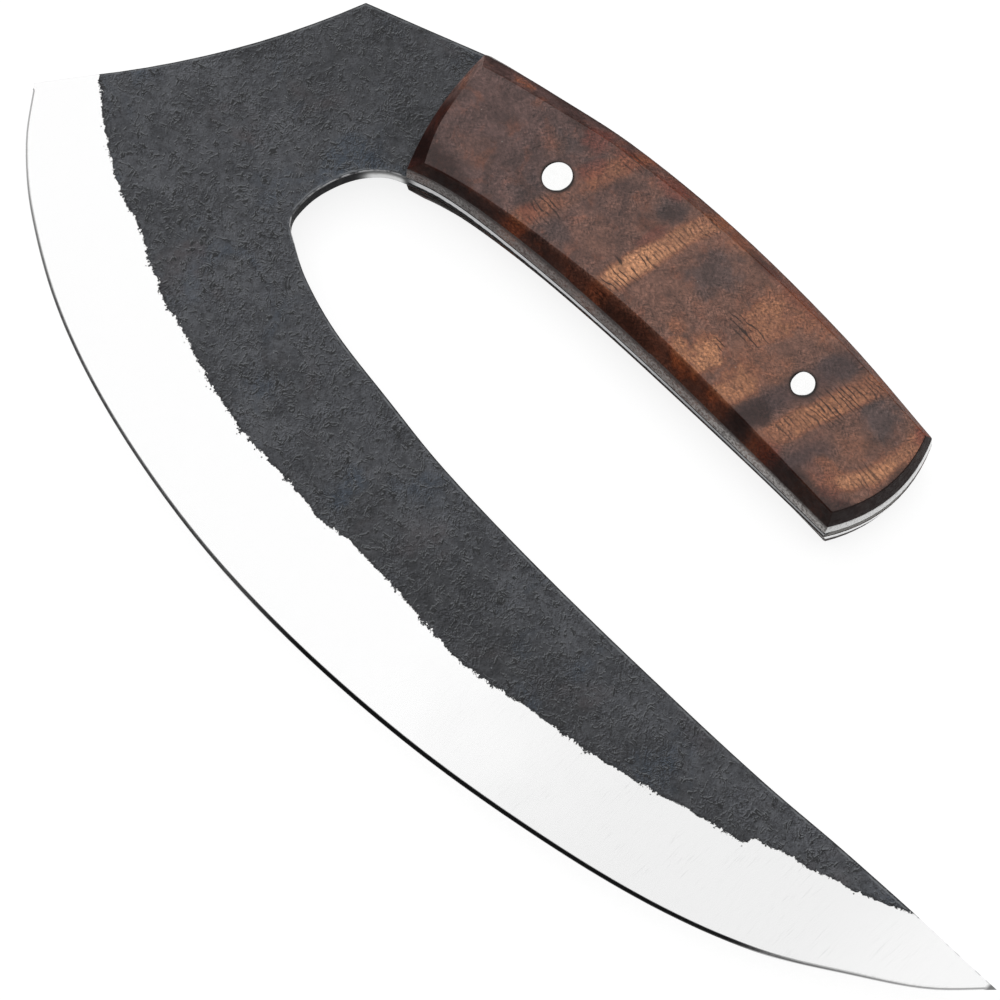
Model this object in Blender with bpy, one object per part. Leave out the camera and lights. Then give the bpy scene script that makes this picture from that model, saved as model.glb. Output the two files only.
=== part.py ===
"""Hand-forged curved kitchen knife (ulu): one steel plate that is blade and full tang, two wood scales, two pins.

The plan is drawn on the plate's middle plane from the heel corner: +X runs along the chord to the
point and +Y runs from the cutting edge to the grip. The knife lies flat on its back scale, and the
origin is under the middle of its bounding box. Lengths are in metres.
"""

import bmesh
import bpy
from mathutils import Vector
from mathutils.geometry import interpolate_bezier, intersect_line_line_2d

# Blade plan
blade_length = 0.2700
belly_depth = 0.0468
spine_dip = 0.0023
spine_root_x = 0.1204
shoulder_x = 0.0366
shoulder_y = 0.0606
butt_hollow = 0.0035

# Blade section
blade_thickness = 0.0040
point_thickness = 0.0020
taper_start_x = 0.1500
tang_end_thickness = 0.0020
edge_bevel_width = 0.0009
edge_shoulder_thickness = 0.0008

# Finger opening and grip plan
finger_gap = 0.0442
grip_front_x = 0.0635
throat_setback = 0.0043
grip_length = 0.1225
grip_width = 0.0331
grip_front_bulge = 0.0018
grip_end_bulge = 0.0038

# Scales
scale_thickness = 0.0072
scale_wall_height = 0.0034
glue_line = 0.0003
crown_lean = 0.0005
underside_lean = 0.0012
end_lean = 0.0003
front_lean = 0.0001
crown_chamfer = 0.0034
underside_chamfer = 0.0028
end_chamfer = 0.0011
front_chamfer = 0.0026
front_corner_growth = 0.0010

# Pins
front_pin_radius = 0.0030
rear_pin_radius = 0.0024
pin_clearance = 0.0003
front_pin_setback = 0.0309
rear_pin_setback = 0.0255
front_pin_rise_share = 0.4265
rear_pin_rise_share = 0.503

# One overrun serves every cutter
cut_overrun = 0.0020

# Cutting edge: share of the blade length along the chord, share of the belly depth below it
belly_shares = (
    (0.030, 0.215),
    (0.075, 0.430),
    (0.150, 0.670),
    (0.240, 0.845),
    (0.350, 0.965),
    (0.455, 1.000),
    (0.570, 0.970),
    (0.680, 0.880),
    (0.780, 0.750),
    (0.860, 0.580),
    (0.920, 0.375),
    (0.965, 0.200),
)
# Upper border of the ground bevel, in the same shares, between the butt and the spine
grind_shares = (
    (0.075, -0.030),
    (0.130, 0.160),
    (0.220, 0.360),
    (0.330, 0.495),
    (0.450, 0.550),
    (0.560, 0.550),
    (0.670, 0.465),
    (0.780, 0.305),
    (0.870, 0.130),
)
# Where the ground bevel starts on the butt, and where it runs out between the spine root and the point
grind_butt_share = 0.20
grind_spine_share = 0.860
# Spine: share of the way from the spine root to the point, share of the spine dip below the chord
spine_shares = ((0.199, 0.83), (0.431, 1.00), (0.599, 0.87), (0.733, 0.42), (0.860, 0.16))
# Throat of the finger opening: share of the way from the throat to the spine root, share of the finger gap
throat_shares = (
    (0.111, 0.826),
    (0.049, 0.724),
    (0.010, 0.588),
    (0.000, 0.464),
    (0.018, 0.351),
    (0.085, 0.283),
    (0.209, 0.195),
    (0.405, 0.113),
    (0.675, 0.054),
    (1.000, -0.007),
)
# Underside of the grip: share of the grip length, share of the grip width by which it drops
underside_shares = (
    (0.0555, 0.166),
    (0.115, 0.097),
    (0.198, 0.051),
    (0.362, 0.012),
    (0.527, 0.000),
    (0.771, 0.008),
    (0.980, 0.024),
)
# Crown of the grip: share of the grip length, share of the grip width above the underside
crown_shares = (
    (0.000, 0.780),
    (0.045, 0.818),
    (0.127, 0.873),
    (0.290, 0.960),
    (0.518, 1.000),
    (0.780, 0.954),
    (1.000, 0.852),
)
# Leans and chamfers of the scales: share of the grip length, share of the named size there
crown_lean_shares = ((0.00, 3.00), (0.14, 2.15), (0.30, 1.15), (0.50, 0.90), (0.75, 0.25), (1.00, 0.10))
underside_lean_shares = ((0.00, 0.42), (0.13, 0.47), (0.28, 0.85), (0.52, 0.99), (0.75, 0.78), (1.00, 0.46))
crown_chamfer_shares = ((0.00, 1.17), (0.14, 1.12), (0.30, 1.05), (0.50, 0.99), (0.75, 0.88), (1.00, 0.69))
underside_chamfer_shares = ((0.00, 0.29), (0.13, 0.42), (0.28, 0.67), (0.52, 0.99), (0.75, 0.80), (1.00, 0.40))
# Height of the scales' walls: share of the grip length, share of the named height there
wall_height_shares = ((0.00, 0.97), (0.28, 1.00), (0.52, 0.91), (0.75, 0.64), (1.00, 0.47))

# Steps that a curve takes between two of its points, and the sides of a round piece
curve_steps = 6
bulge_steps = 12
grind_steps = 96
round_sides = 32
# A Bezier handle reaches a third of the way to the next point
handle_share = 1 / 3
# Faces that meet at a larger angle than this, in radians, show a sharp arris
sharp_angle = 0.52

grip_half = blade_thickness / 2 + glue_line + scale_thickness
grip_end_x = grip_front_x + grip_length
throat_x = grip_front_x - throat_setback


def clear_scene():
    """Removes whatever the file opened with."""
    for obj in list(bpy.data.objects):
        bpy.data.objects.remove(obj, do_unlink=True)


def smooth_line(points):
    """A smooth line through the points: Bezier spans whose handles lie along the neighbours' direction."""
    knots = [Vector((x, y)) for x, y in points]
    slopes = []
    for index in range(len(knots)):
        before = knots[max(index - 1, 0)]
        after = knots[min(index + 1, len(knots) - 1)]
        slopes.append((after - before).normalized())
    line = []
    for index in range(len(knots) - 1):
        start = knots[index]
        end = knots[index + 1]
        reach = (end - start).length * handle_share
        leave = start + slopes[index] * reach
        arrive = end - slopes[index + 1] * reach
        line += interpolate_bezier(start, leave, arrive, end, curve_steps + 1)[:-1]
    return [Vector(point[:2]) for point in line] + [knots[-1]]


def bulged_line(start, end, bulge, steps):
    """A parabola from start to end that swells by bulge to the left of its direction."""
    start = Vector(start)
    end = Vector(end)
    along = end - start
    left = Vector((-along.y, along.x)).normalized()
    line = []
    for step in range(steps + 1):
        share = step / steps
        off_middle = 2 * share - 1
        line.append(start + along * share + left * bulge * (1 - off_middle**2))
    return line


def length_shares(line):
    """How far along the line each of its points lies, as shares of its length."""
    reaches = [0.0]
    for before, after in zip(line, line[1:]):
        reaches.append(reaches[-1] + (after - before).length)
    return [reach / reaches[-1] for reach in reaches]


def points_along(line, shares):
    """The points at these shares of the line's length."""
    own_shares = length_shares(line)
    points = []
    index = 0
    for share in shares:
        while index < len(line) - 2 and own_shares[index + 1] < share:
            index += 1
        span = own_shares[index + 1] - own_shares[index]
        points.append(line[index].lerp(line[index + 1], (share - own_shares[index]) / span))
    return points


def even_points(line, count):
    """The same line with count points at even distances along it, its ends kept."""
    return points_along(line, [step / (count - 1) for step in range(count)])


def size_along(size, shares, line):
    """The size at each point of a line, read off a smooth curve through its shares over the grip's length."""
    curve = smooth_line([(grip_front_x + along * grip_length, share * size) for along, share in shares])
    sizes = []
    for point in line:
        index = 0
        while index < len(curve) - 2 and curve[index + 1].x < point.x:
            index += 1
        before = curve[index]
        after = curve[index + 1]
        share = (point.x - before.x) / (after.x - before.x)
        sizes.append(before.y + (after.y - before.y) * share)
    return sizes


def shifted_line(line, insets, tail):
    """The line with each point moved to its right by its own inset, and a straight tail past each end."""
    moved = []
    for index, (point, inset) in enumerate(zip(line, insets)):
        before = line[max(index - 1, 0)]
        after = line[min(index + 1, len(line) - 1)]
        along = (after - before).normalized()
        moved.append(point + Vector((along.y, -along.x)) * inset)
    first = moved[0] + (moved[0] - moved[1]).normalized() * tail
    last = moved[-1] + (moved[-1] - moved[-2]).normalized() * tail
    return [first] + moved + [last]


def crossing(first, second):
    """Where two lines cross: the index of the point before it on each, and the place."""
    for first_index in range(len(first) - 1):
        for second_index in range(len(second) - 1):
            place = intersect_line_line_2d(
                first[first_index], first[first_index + 1], second[second_index], second[second_index + 1]
            )
            if place:
                return first_index, second_index, place
    raise ValueError("two neighbouring sides of the grip don't meet")


def cutting_edge():
    """The belly curve from the heel corner to the point."""
    points = [(0, 0)]
    points += [(x * blade_length, -y * belly_depth) for x, y in belly_shares]
    points.append((blade_length, 0))
    return smooth_line(points)


def butt_line():
    """The hollow rear edge from the heel corner up to the shoulder."""
    return bulged_line((0, 0), (shoulder_x, shoulder_y), -butt_hollow, bulge_steps)


def butt_start():
    """The place on the butt where the ground bevel starts."""
    line = butt_line()
    place = grind_butt_share * bulge_steps
    before = int(place)
    return line[before].lerp(line[before + 1], place - before)


def crown_line():
    """The outer edge of the tang and the scales, from the front corner to the end corner."""
    points = []
    for along, rise in crown_shares:
        points.append((grip_front_x + along * grip_length, finger_gap + rise * grip_width))
    return smooth_line(points)


def inner_line():
    """The underside of the grip from its end corner, round the throat and along the spine to the point.

    Returns the line and the index of the scales' front corner on it.
    """
    points = []
    for along, drop in reversed(underside_shares):
        points.append((grip_front_x + along * grip_length, finger_gap - drop * grip_width))
    corner = (len(points) - 1) * curve_steps
    for along, rise in throat_shares:
        points.append((throat_x + along * (spine_root_x - throat_x), rise * finger_gap))
    for along, dip in spine_shares:
        points.append((spine_root_x + along * (blade_length - spine_root_x), -dip * spine_dip))
    points.append((blade_length, 0))
    return smooth_line(points), corner


def split_spine(line):
    """The inner line as far as the end of the grind, and the rest of it to the point."""
    runout = spine_root_x + grind_spine_share * (blade_length - spine_root_x)
    index = len(line) - 1
    while line[index - 1].x > runout:
        index -= 1
    before = line[index - 1]
    share = (runout - before.x) / (line[index].x - before.x)
    end = before.lerp(line[index], share)
    return line[:index] + [end], [end] + line[index:]


def grind_line(spine_end):
    """The upper border of the ground bevel, from the butt to where it runs out on the spine."""
    points = [butt_start()]
    points += [Vector((x * blade_length, -y * belly_depth)) for x, y in grind_shares]
    points.append(spine_end)
    return smooth_line(points)


def scale_sides():
    """The four sides of the scales' outline on the tang, clockwise: crown, end, underside and front."""
    crown = crown_line()
    inner, corner = inner_line()
    underside = inner[: corner + 1]
    end = bulged_line(crown[-1], underside[0], grip_end_bulge, bulge_steps)
    front = bulged_line(underside[-1], crown[0], grip_front_bulge, bulge_steps)
    return [crown, end, underside, front]


def inset_outline(sides, insets):
    """The sides moved inwards by their points' insets and cut where they cross, with as many points as before."""
    tail = 2 * max(max(side_insets) for side_insets in insets)
    lines = [shifted_line(side, side_insets, tail) for side, side_insets in zip(sides, insets)]
    corners = [crossing(lines[index - 1], lines[index]) for index in range(len(lines))]
    outline = []
    for index, line in enumerate(lines):
        _, before_first, first = corners[index]
        before_last, _, last = corners[(index + 1) % len(lines)]
        kept = [first] + line[before_first + 1 : before_last + 1] + [last]
        outline += points_along(kept, length_shares(sides[index]))[:-1]
    return outline


def front_chamfers(count):
    """The front chamfer at each point of the front side: it widens over the third next to the underside."""
    widths = []
    for index in range(count):
        nearness = max(0, 1 - 3 * index / (count - 1))
        widths.append(front_chamfer + front_corner_growth * nearness)
    return widths


def scale_insets(sides):
    """How far each point of the four sides moves in by the top of the wall, and by the edge of the facet."""
    crown, end, underside, front = sides
    leans = [
        size_along(crown_lean, crown_lean_shares, crown),
        [end_lean] * len(end),
        size_along(underside_lean, underside_lean_shares, underside),
        [front_lean] * len(front),
    ]
    chamfers = [
        size_along(crown_chamfer, crown_chamfer_shares, crown),
        [end_chamfer] * len(end),
        size_along(underside_chamfer, underside_chamfer_shares, underside),
        front_chamfers(len(front)),
    ]
    facet_insets = []
    for side_leans, side_chamfers in zip(leans, chamfers):
        facet_insets.append([lean + chamfer for lean, chamfer in zip(side_leans, side_chamfers)])
    return leans, facet_insets


def tang_half(x):
    """Half the tang's thickness at a distance along the chord: it thins evenly from the grip's front."""
    along = (x - grip_front_x) / grip_length
    return (blade_thickness + (tang_end_thickness - blade_thickness) * along) / 2


def add_object(name, mesh_builder, material, root):
    """A named object with the built mesh, one material and its place under the root."""
    mesh = bpy.data.meshes.new(name)
    bmesh.ops.recalc_face_normals(mesh_builder, faces=mesh_builder.faces)
    mesh_builder.to_mesh(mesh)
    mesh_builder.free()
    mesh.shade_smooth()
    mesh.set_sharp_from_angle(angle=sharp_angle)
    obj = bpy.data.objects.new(name, mesh)
    obj.parent = root
    bpy.context.scene.collection.objects.link(obj)
    if material:
        mesh.materials.append(material)
    return obj


def plain_material(name, colour, metallic, roughness):
    """A Principled material with the piece's colour and gloss."""
    material = bpy.data.materials.new(name)
    material.use_nodes = True
    shader = material.node_tree.nodes["Principled BSDF"]
    shader.inputs["Base Color"].default_value = (*colour, 1.0)
    shader.inputs["Metallic"].default_value = metallic
    shader.inputs["Roughness"].default_value = roughness
    material.diffuse_color = (*colour, 1.0)
    return material


def forged_steel():
    """Dark forge scale over steel."""
    return plain_material("forged_steel", (0.072, 0.075, 0.082), 0.8, 0.55)


def figured_wood():
    """Oiled dark walnut."""
    return plain_material("figured_wood", (0.120, 0.048, 0.028), 0.0, 0.30)


def pin_steel():
    """Bright pin stock, sanded flush."""
    return plain_material("pin_steel", (0.80, 0.80, 0.79), 1.0, 0.25)


def ring_of(builder, line, height):
    """Vertices of a line at one height."""
    return [builder.verts.new((point.x, point.y, height)) for point in line]


def bridge(builder, first, second, closed):
    """Quads between two rows of the same count."""
    count = len(first)
    for index in range(count if closed else count - 1):
        after = (index + 1) % count
        builder.faces.new((first[index], first[after], second[after], second[index]))


def edge_shoulder(edge):
    """The inner border of the narrow cutting bevel, one point for each of the edge's but the last."""
    shoulder = []
    for index in range(len(edge) - 1):
        before = edge[max(index - 1, 0)]
        along = (edge[index + 1] - before).normalized()
        shoulder.append(edge[index] + Vector((-along.y, along.x)) * edge_bevel_width)
    butt = (butt_start() - edge[0]).normalized()
    shoulder[0] = edge[0] + butt * edge_bevel_width
    return shoulder


def bevel_heights(border, spine_end):
    """Half thickness along the grind border, which runs out to nothing from the spine to the point."""
    heights = []
    for point in border:
        left = (blade_length - point.x) / (blade_length - spine_end.x)
        heights.append(blade_thickness / 2 * min(left, 1))
    return heights


def taper(builder, start_x, end_x, end_thickness, on_tang):
    """Thins the blade, or the tang above the finger opening, evenly from start_x to end_x."""
    everything = builder.verts[:] + builder.edges[:] + builder.faces[:]
    bmesh.ops.bisect_plane(builder, geom=everything, plane_co=(start_x, 0, 0), plane_no=(1, 0, 0))
    loss = 1 - end_thickness / blade_thickness
    for vertex in builder.verts:
        along = (vertex.co.x - start_x) / (end_x - start_x)
        if along > 0 and (vertex.co.y > finger_gap / 2) == on_tang:
            vertex.co.z *= 1 - loss * along


def build_blade(material, root):
    """Blade and full tang in one plate: flat faces, a ground bevel and a narrow cutting bevel on each side."""
    inner, _ = inner_line()
    inner, runout = split_spine(inner)
    grind = grind_line(runout[0])
    border = even_points(grind, grind_steps) + even_points(runout, bulge_steps)[1:]
    edge = even_points(cutting_edge(), len(border))
    shoulder = edge_shoulder(edge)
    border = border[:-1]
    heights = bevel_heights(border, runout[0])
    butt = [butt_start()] + [point for point in butt_line() if point.y > butt_start().y]
    crown = crown_line()
    tang_end = bulged_line(crown[-1], inner[0], grip_end_bulge, bulge_steps)
    back = butt[1:] + crown + tang_end[1:-1] + inner[:-1]

    builder = bmesh.new()
    edge_row = ring_of(builder, edge[:-1], 0)
    point = builder.verts.new((edge[-1].x, edge[-1].y, 0))
    rims = []
    for face in (1, -1):
        shoulder_row = ring_of(builder, shoulder, face * edge_shoulder_thickness / 2)
        border_row = []
        for place, height in zip(border, heights):
            border_row.append(builder.verts.new((place.x, place.y, face * height)))
        back_row = ring_of(builder, back, face * blade_thickness / 2)
        bridge(builder, edge_row, shoulder_row, closed=False)
        bridge(builder, shoulder_row, border_row, closed=False)
        builder.faces.new((edge_row[-1], shoulder_row[-1], point))
        builder.faces.new((shoulder_row[-1], border_row[-1], point))
        builder.faces.new(border_row[:grind_steps] + back_row[::-1])
        rims.append([shoulder_row[0], border_row[0]] + back_row + border_row[grind_steps - 1 :])
    bridge(builder, rims[0], rims[1], closed=False)
    builder.faces.new((edge_row[0], rims[0][0], rims[1][0]))
    builder.faces.new((rims[0][-1], rims[1][-1], point))
    taper(builder, taper_start_x, blade_length, point_thickness, on_tang=False)
    taper(builder, grip_front_x, grip_end_x, tang_end_thickness, on_tang=True)
    return add_object("blade", builder, material, root)


def build_scale(name, face, material, root):
    """One wood scale on the front (+1) or back (-1) of the tang: leaning walls, chamfers and a flat facet."""
    sides = scale_sides()
    outline = []
    for side in sides:
        outline += side[:-1]
    leans, facet_insets = scale_insets(sides)
    wall_top = inset_outline(sides, leans)
    facet = inset_outline(sides, facet_insets)
    wall_bottom_height = grip_half - scale_thickness
    wall_heights = size_along(scale_wall_height, wall_height_shares, wall_top)

    builder = bmesh.new()
    seat_row = []
    for place in outline:
        seat_row.append(builder.verts.new((place.x, place.y, face * (tang_half(place.x) + glue_line))))
    wall_row = []
    for place, height in zip(wall_top, wall_heights):
        wall_row.append(builder.verts.new((place.x, place.y, face * (wall_bottom_height + height))))
    facet_row = ring_of(builder, facet, face * grip_half)
    bridge(builder, seat_row, wall_row, closed=True)
    bridge(builder, wall_row, facet_row, closed=True)
    builder.faces.new(seat_row)
    builder.faces.new(facet_row)
    return add_object(name, builder, material, root)


def round_bar(name, radius, half_length, place, material, root):
    """A round bar across the grip at its place."""
    builder = bmesh.new()
    bmesh.ops.create_cone(
        builder,
        cap_ends=True,
        segments=round_sides,
        radius1=radius,
        radius2=radius,
        depth=2 * half_length,
    )
    bar = add_object(name, builder, material, root)
    bar.location = (place.x, place.y, 0)
    return bar


def front_pin_place():
    """The centre of the pin nearest the heel, on the plan."""
    return Vector((grip_front_x + front_pin_setback, finger_gap + front_pin_rise_share * grip_width))


def rear_pin_place():
    """The centre of the pin nearest the grip's free end, on the plan."""
    return Vector((grip_end_x - rear_pin_setback, finger_gap + rear_pin_rise_share * grip_width))


def drill(pieces, name, radius, place, root):
    """Cuts one pin's clearance hole through all the pieces."""
    cutter = round_bar(name + "_drill", radius + pin_clearance, grip_half + cut_overrun, place, None, root)
    cutter.hide_render = True
    cutter.display_type = "WIRE"
    for piece in pieces:
        hole = piece.modifiers.new(name + "_hole", "BOOLEAN")
        hole.operation = "DIFFERENCE"
        hole.object = cutter
        hole.solver = "EXACT"


def build_root():
    """An empty that carries the pieces and puts the origin under the middle of the bounding box."""
    plan = cutting_edge() + crown_line() + butt_line()
    low_y = min(point.y for point in plan)
    high_y = max(point.y for point in plan)
    root = bpy.data.objects.new("knife_root", None)
    root.location = (-blade_length / 2, -(low_y + high_y) / 2, grip_half)
    bpy.context.scene.collection.objects.link(root)
    return root


def main():
    clear_scene()
    root = build_root()
    steel = forged_steel()
    wood = figured_wood()
    bright = pin_steel()
    pieces = [
        build_blade(steel, root),
        build_scale("front_scale", 1, wood, root),
        build_scale("back_scale", -1, wood, root),
    ]
    pins = (
        ("front_pin", front_pin_radius, front_pin_place()),
        ("rear_pin", rear_pin_radius, rear_pin_place()),
    )
    for name, radius, place in pins:
        round_bar(name, radius, grip_half, place, bright, root)
        drill(pieces, name, radius, place, root)


main()
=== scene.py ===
"""Looks of the hand-forged curved kitchen knife (ulu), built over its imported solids.

Plan places are in millimetres on the plate's middle plane, from the heel corner: x runs along the
chord to the point and y from the cutting edge to the grip. Meshes are in metres in the part's frame.
"""

import logging
import math
from dataclasses import dataclass, field
from enum import Enum
from typing import Any, Callable, Sequence

import bmesh
import bpy
import numpy as np
from mathutils import Matrix, Vector, noise
from mathutils.bvhtree import BVHTree


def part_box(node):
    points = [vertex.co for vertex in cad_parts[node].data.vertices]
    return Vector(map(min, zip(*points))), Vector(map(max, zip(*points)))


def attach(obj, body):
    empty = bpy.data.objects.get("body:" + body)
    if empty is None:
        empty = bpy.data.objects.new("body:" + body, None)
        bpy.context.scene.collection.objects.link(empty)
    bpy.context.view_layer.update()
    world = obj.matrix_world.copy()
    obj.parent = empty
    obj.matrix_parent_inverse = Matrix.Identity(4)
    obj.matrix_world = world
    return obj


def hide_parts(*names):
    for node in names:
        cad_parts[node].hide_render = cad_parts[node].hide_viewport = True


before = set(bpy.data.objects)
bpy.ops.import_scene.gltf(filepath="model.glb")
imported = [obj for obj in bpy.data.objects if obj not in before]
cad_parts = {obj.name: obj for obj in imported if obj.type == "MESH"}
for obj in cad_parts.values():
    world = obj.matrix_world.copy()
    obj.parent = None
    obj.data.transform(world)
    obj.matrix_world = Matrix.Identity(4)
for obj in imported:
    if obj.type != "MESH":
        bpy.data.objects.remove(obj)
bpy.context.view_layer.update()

LOG = logging.getLogger("knife")
MM = 0.001
# The heel corner on the plate's middle plane, in metres
HEEL = Vector((-0.135, -0.01525, 0.0095))
PINS = ("front_pin", "rear_pin")
# The straight line of the grip's free end: x there, less this share of y, is about 180.5
END_LEAN = 0.069
Piece = bpy.types.Object
Socket = bpy.types.NodeSocket


def plan_to_frame(x_mm: float, y_mm: float, z_mm: float = 0.0) -> Vector:
    """A plan place as a point of the part's frame, in metres."""
    return HEEL + Vector((x_mm, y_mm, z_mm)) * MM


def pin_bar(node: str) -> tuple:
    """A pin's size.

    Args:
        node: the pin's CAD node.

    Returns:
        Its middle, its radius and its height, in metres.
    """
    low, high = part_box(node)
    return (low + high) / 2, (high.x - low.x) / 2, high.z - low.z


def pin_place(node: str) -> tuple:
    """A pin's plan place and its radius, in millimetres.

    Args:
        node: the pin's CAD node.

    Returns:
        The place as a vector on the middle plane, and the radius.
    """
    centre, radius, _ = pin_bar(node)
    place = (centre - HEEL) / MM
    return Vector((place.x, place.y, 0.0)), radius / MM


# Working on meshes


def select_only(piece: Piece) -> None:
    """Deselects everything else and makes the piece active.

    Args:
        piece: the object that the next operators work on.
    """
    bpy.ops.object.select_all(action="DESELECT")
    piece.select_set(True)
    bpy.context.view_layer.objects.active = piece


def add_object(name: str, data: Any) -> Piece:
    """A new object in the scene.

    Args:
        name: its name.
        data: its mesh, lamp or camera.

    Returns:
        The object.
    """
    made = bpy.data.objects.new(name, data)
    bpy.context.scene.collection.objects.link(made)
    return made


def copy_of_node(node: str, name: str) -> Piece:
    """A loose copy of a CAD node with its own merged mesh.

    Args:
        node: the CAD node's name.
        name: the new piece's name.

    Returns:
        The copy, selected and active.
    """
    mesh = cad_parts[node].data.copy()
    mesh.name = name
    mesh.materials.clear()
    piece = add_object(name, mesh)
    select_only(piece)
    if mesh.has_custom_normals:
        bpy.ops.mesh.customdata_custom_splitnormals_clear()
    bpy.ops.object.mode_set(mode="EDIT")
    bpy.ops.mesh.select_all(action="SELECT")
    bpy.ops.mesh.remove_doubles(threshold=1e-6)
    bpy.ops.object.mode_set(mode="OBJECT")
    return piece


def upright_bar(
    name: str, centre: Vector, radius: float, depth: float, sides: int, ends: str = "NGON"
) -> Piece:
    """A new upright cylinder.

    Args:
        name: its name.
        centre: its middle, in metres.
        radius: its radius.
        depth: its height.
        sides: how many sides it has.
        ends: how its ends are filled.

    Returns:
        The cylinder, selected and active.
    """
    bpy.ops.object.select_all(action="DESELECT")
    size = {"vertices": sides, "radius": radius, "depth": depth}
    bpy.ops.mesh.primitive_cylinder_add(**size, end_fill_type=ends, location=centre)
    bar = bpy.context.active_object
    bar.name = bar.data.name = name
    return bar


def pick(piece: Piece, kind: str, wanted: Callable[[Any], bool]) -> None:
    """Selects a piece's edges or faces by a test.

    Args:
        piece: the piece, active in edit mode.
        kind: EDGE or FACE.
        wanted: says of one edge or face whether it is selected.
    """
    bpy.ops.mesh.select_mode(type=kind)
    bpy.ops.mesh.select_all(action="DESELECT")
    builder = bmesh.from_edit_mesh(piece.data)
    for element in builder.edges if kind == "EDGE" else builder.faces:
        if wanted(element):
            element.select_set(True)
    bmesh.update_edit_mesh(piece.data)


def apply_modifiers(piece: Piece) -> None:
    """Applies all the piece's modifiers, in order.

    Args:
        piece: the piece.
    """
    select_only(piece)
    for modifier in list(piece.modifiers):
        bpy.ops.object.modifier_apply(modifier=modifier.name)


def settle(piece: Piece) -> None:
    """Puts the piece's place, turn and scale into its mesh."""
    select_only(piece)
    bpy.ops.object.transform_apply(location=True, rotation=True, scale=True)


def smooth(piece: Piece, degrees: float) -> None:
    """Smooths the piece's shading over edges flatter than an angle."""
    select_only(piece)
    bpy.ops.object.shade_smooth_by_angle(angle=math.radians(degrees))


def dress(piece: Piece, looks: Sequence[bpy.types.Material], slot: str, *nodes: str) -> Piece:
    """Gives a finished piece its looks, hangs it under the root body and hides the CAD nodes that it stands
    for.

    Args:
        piece: the finished piece.
        looks: its materials, in the order that its faces number them.
        slot: not used.
        nodes: the CAD nodes that it stands for.

    Returns:
        The same piece.
    """
    for look in looks:
        piece.data.materials.append(look)
    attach(piece, "root")
    if nodes:
        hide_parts(*nodes)
    triangles = sum(len(face.vertices) - 2 for face in piece.data.polygons)
    LOG.info("%s: %d triangles, stands for %s", piece.name, triangles, ", ".join(nodes) or "nothing")
    return piece


# Shader nodes


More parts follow.
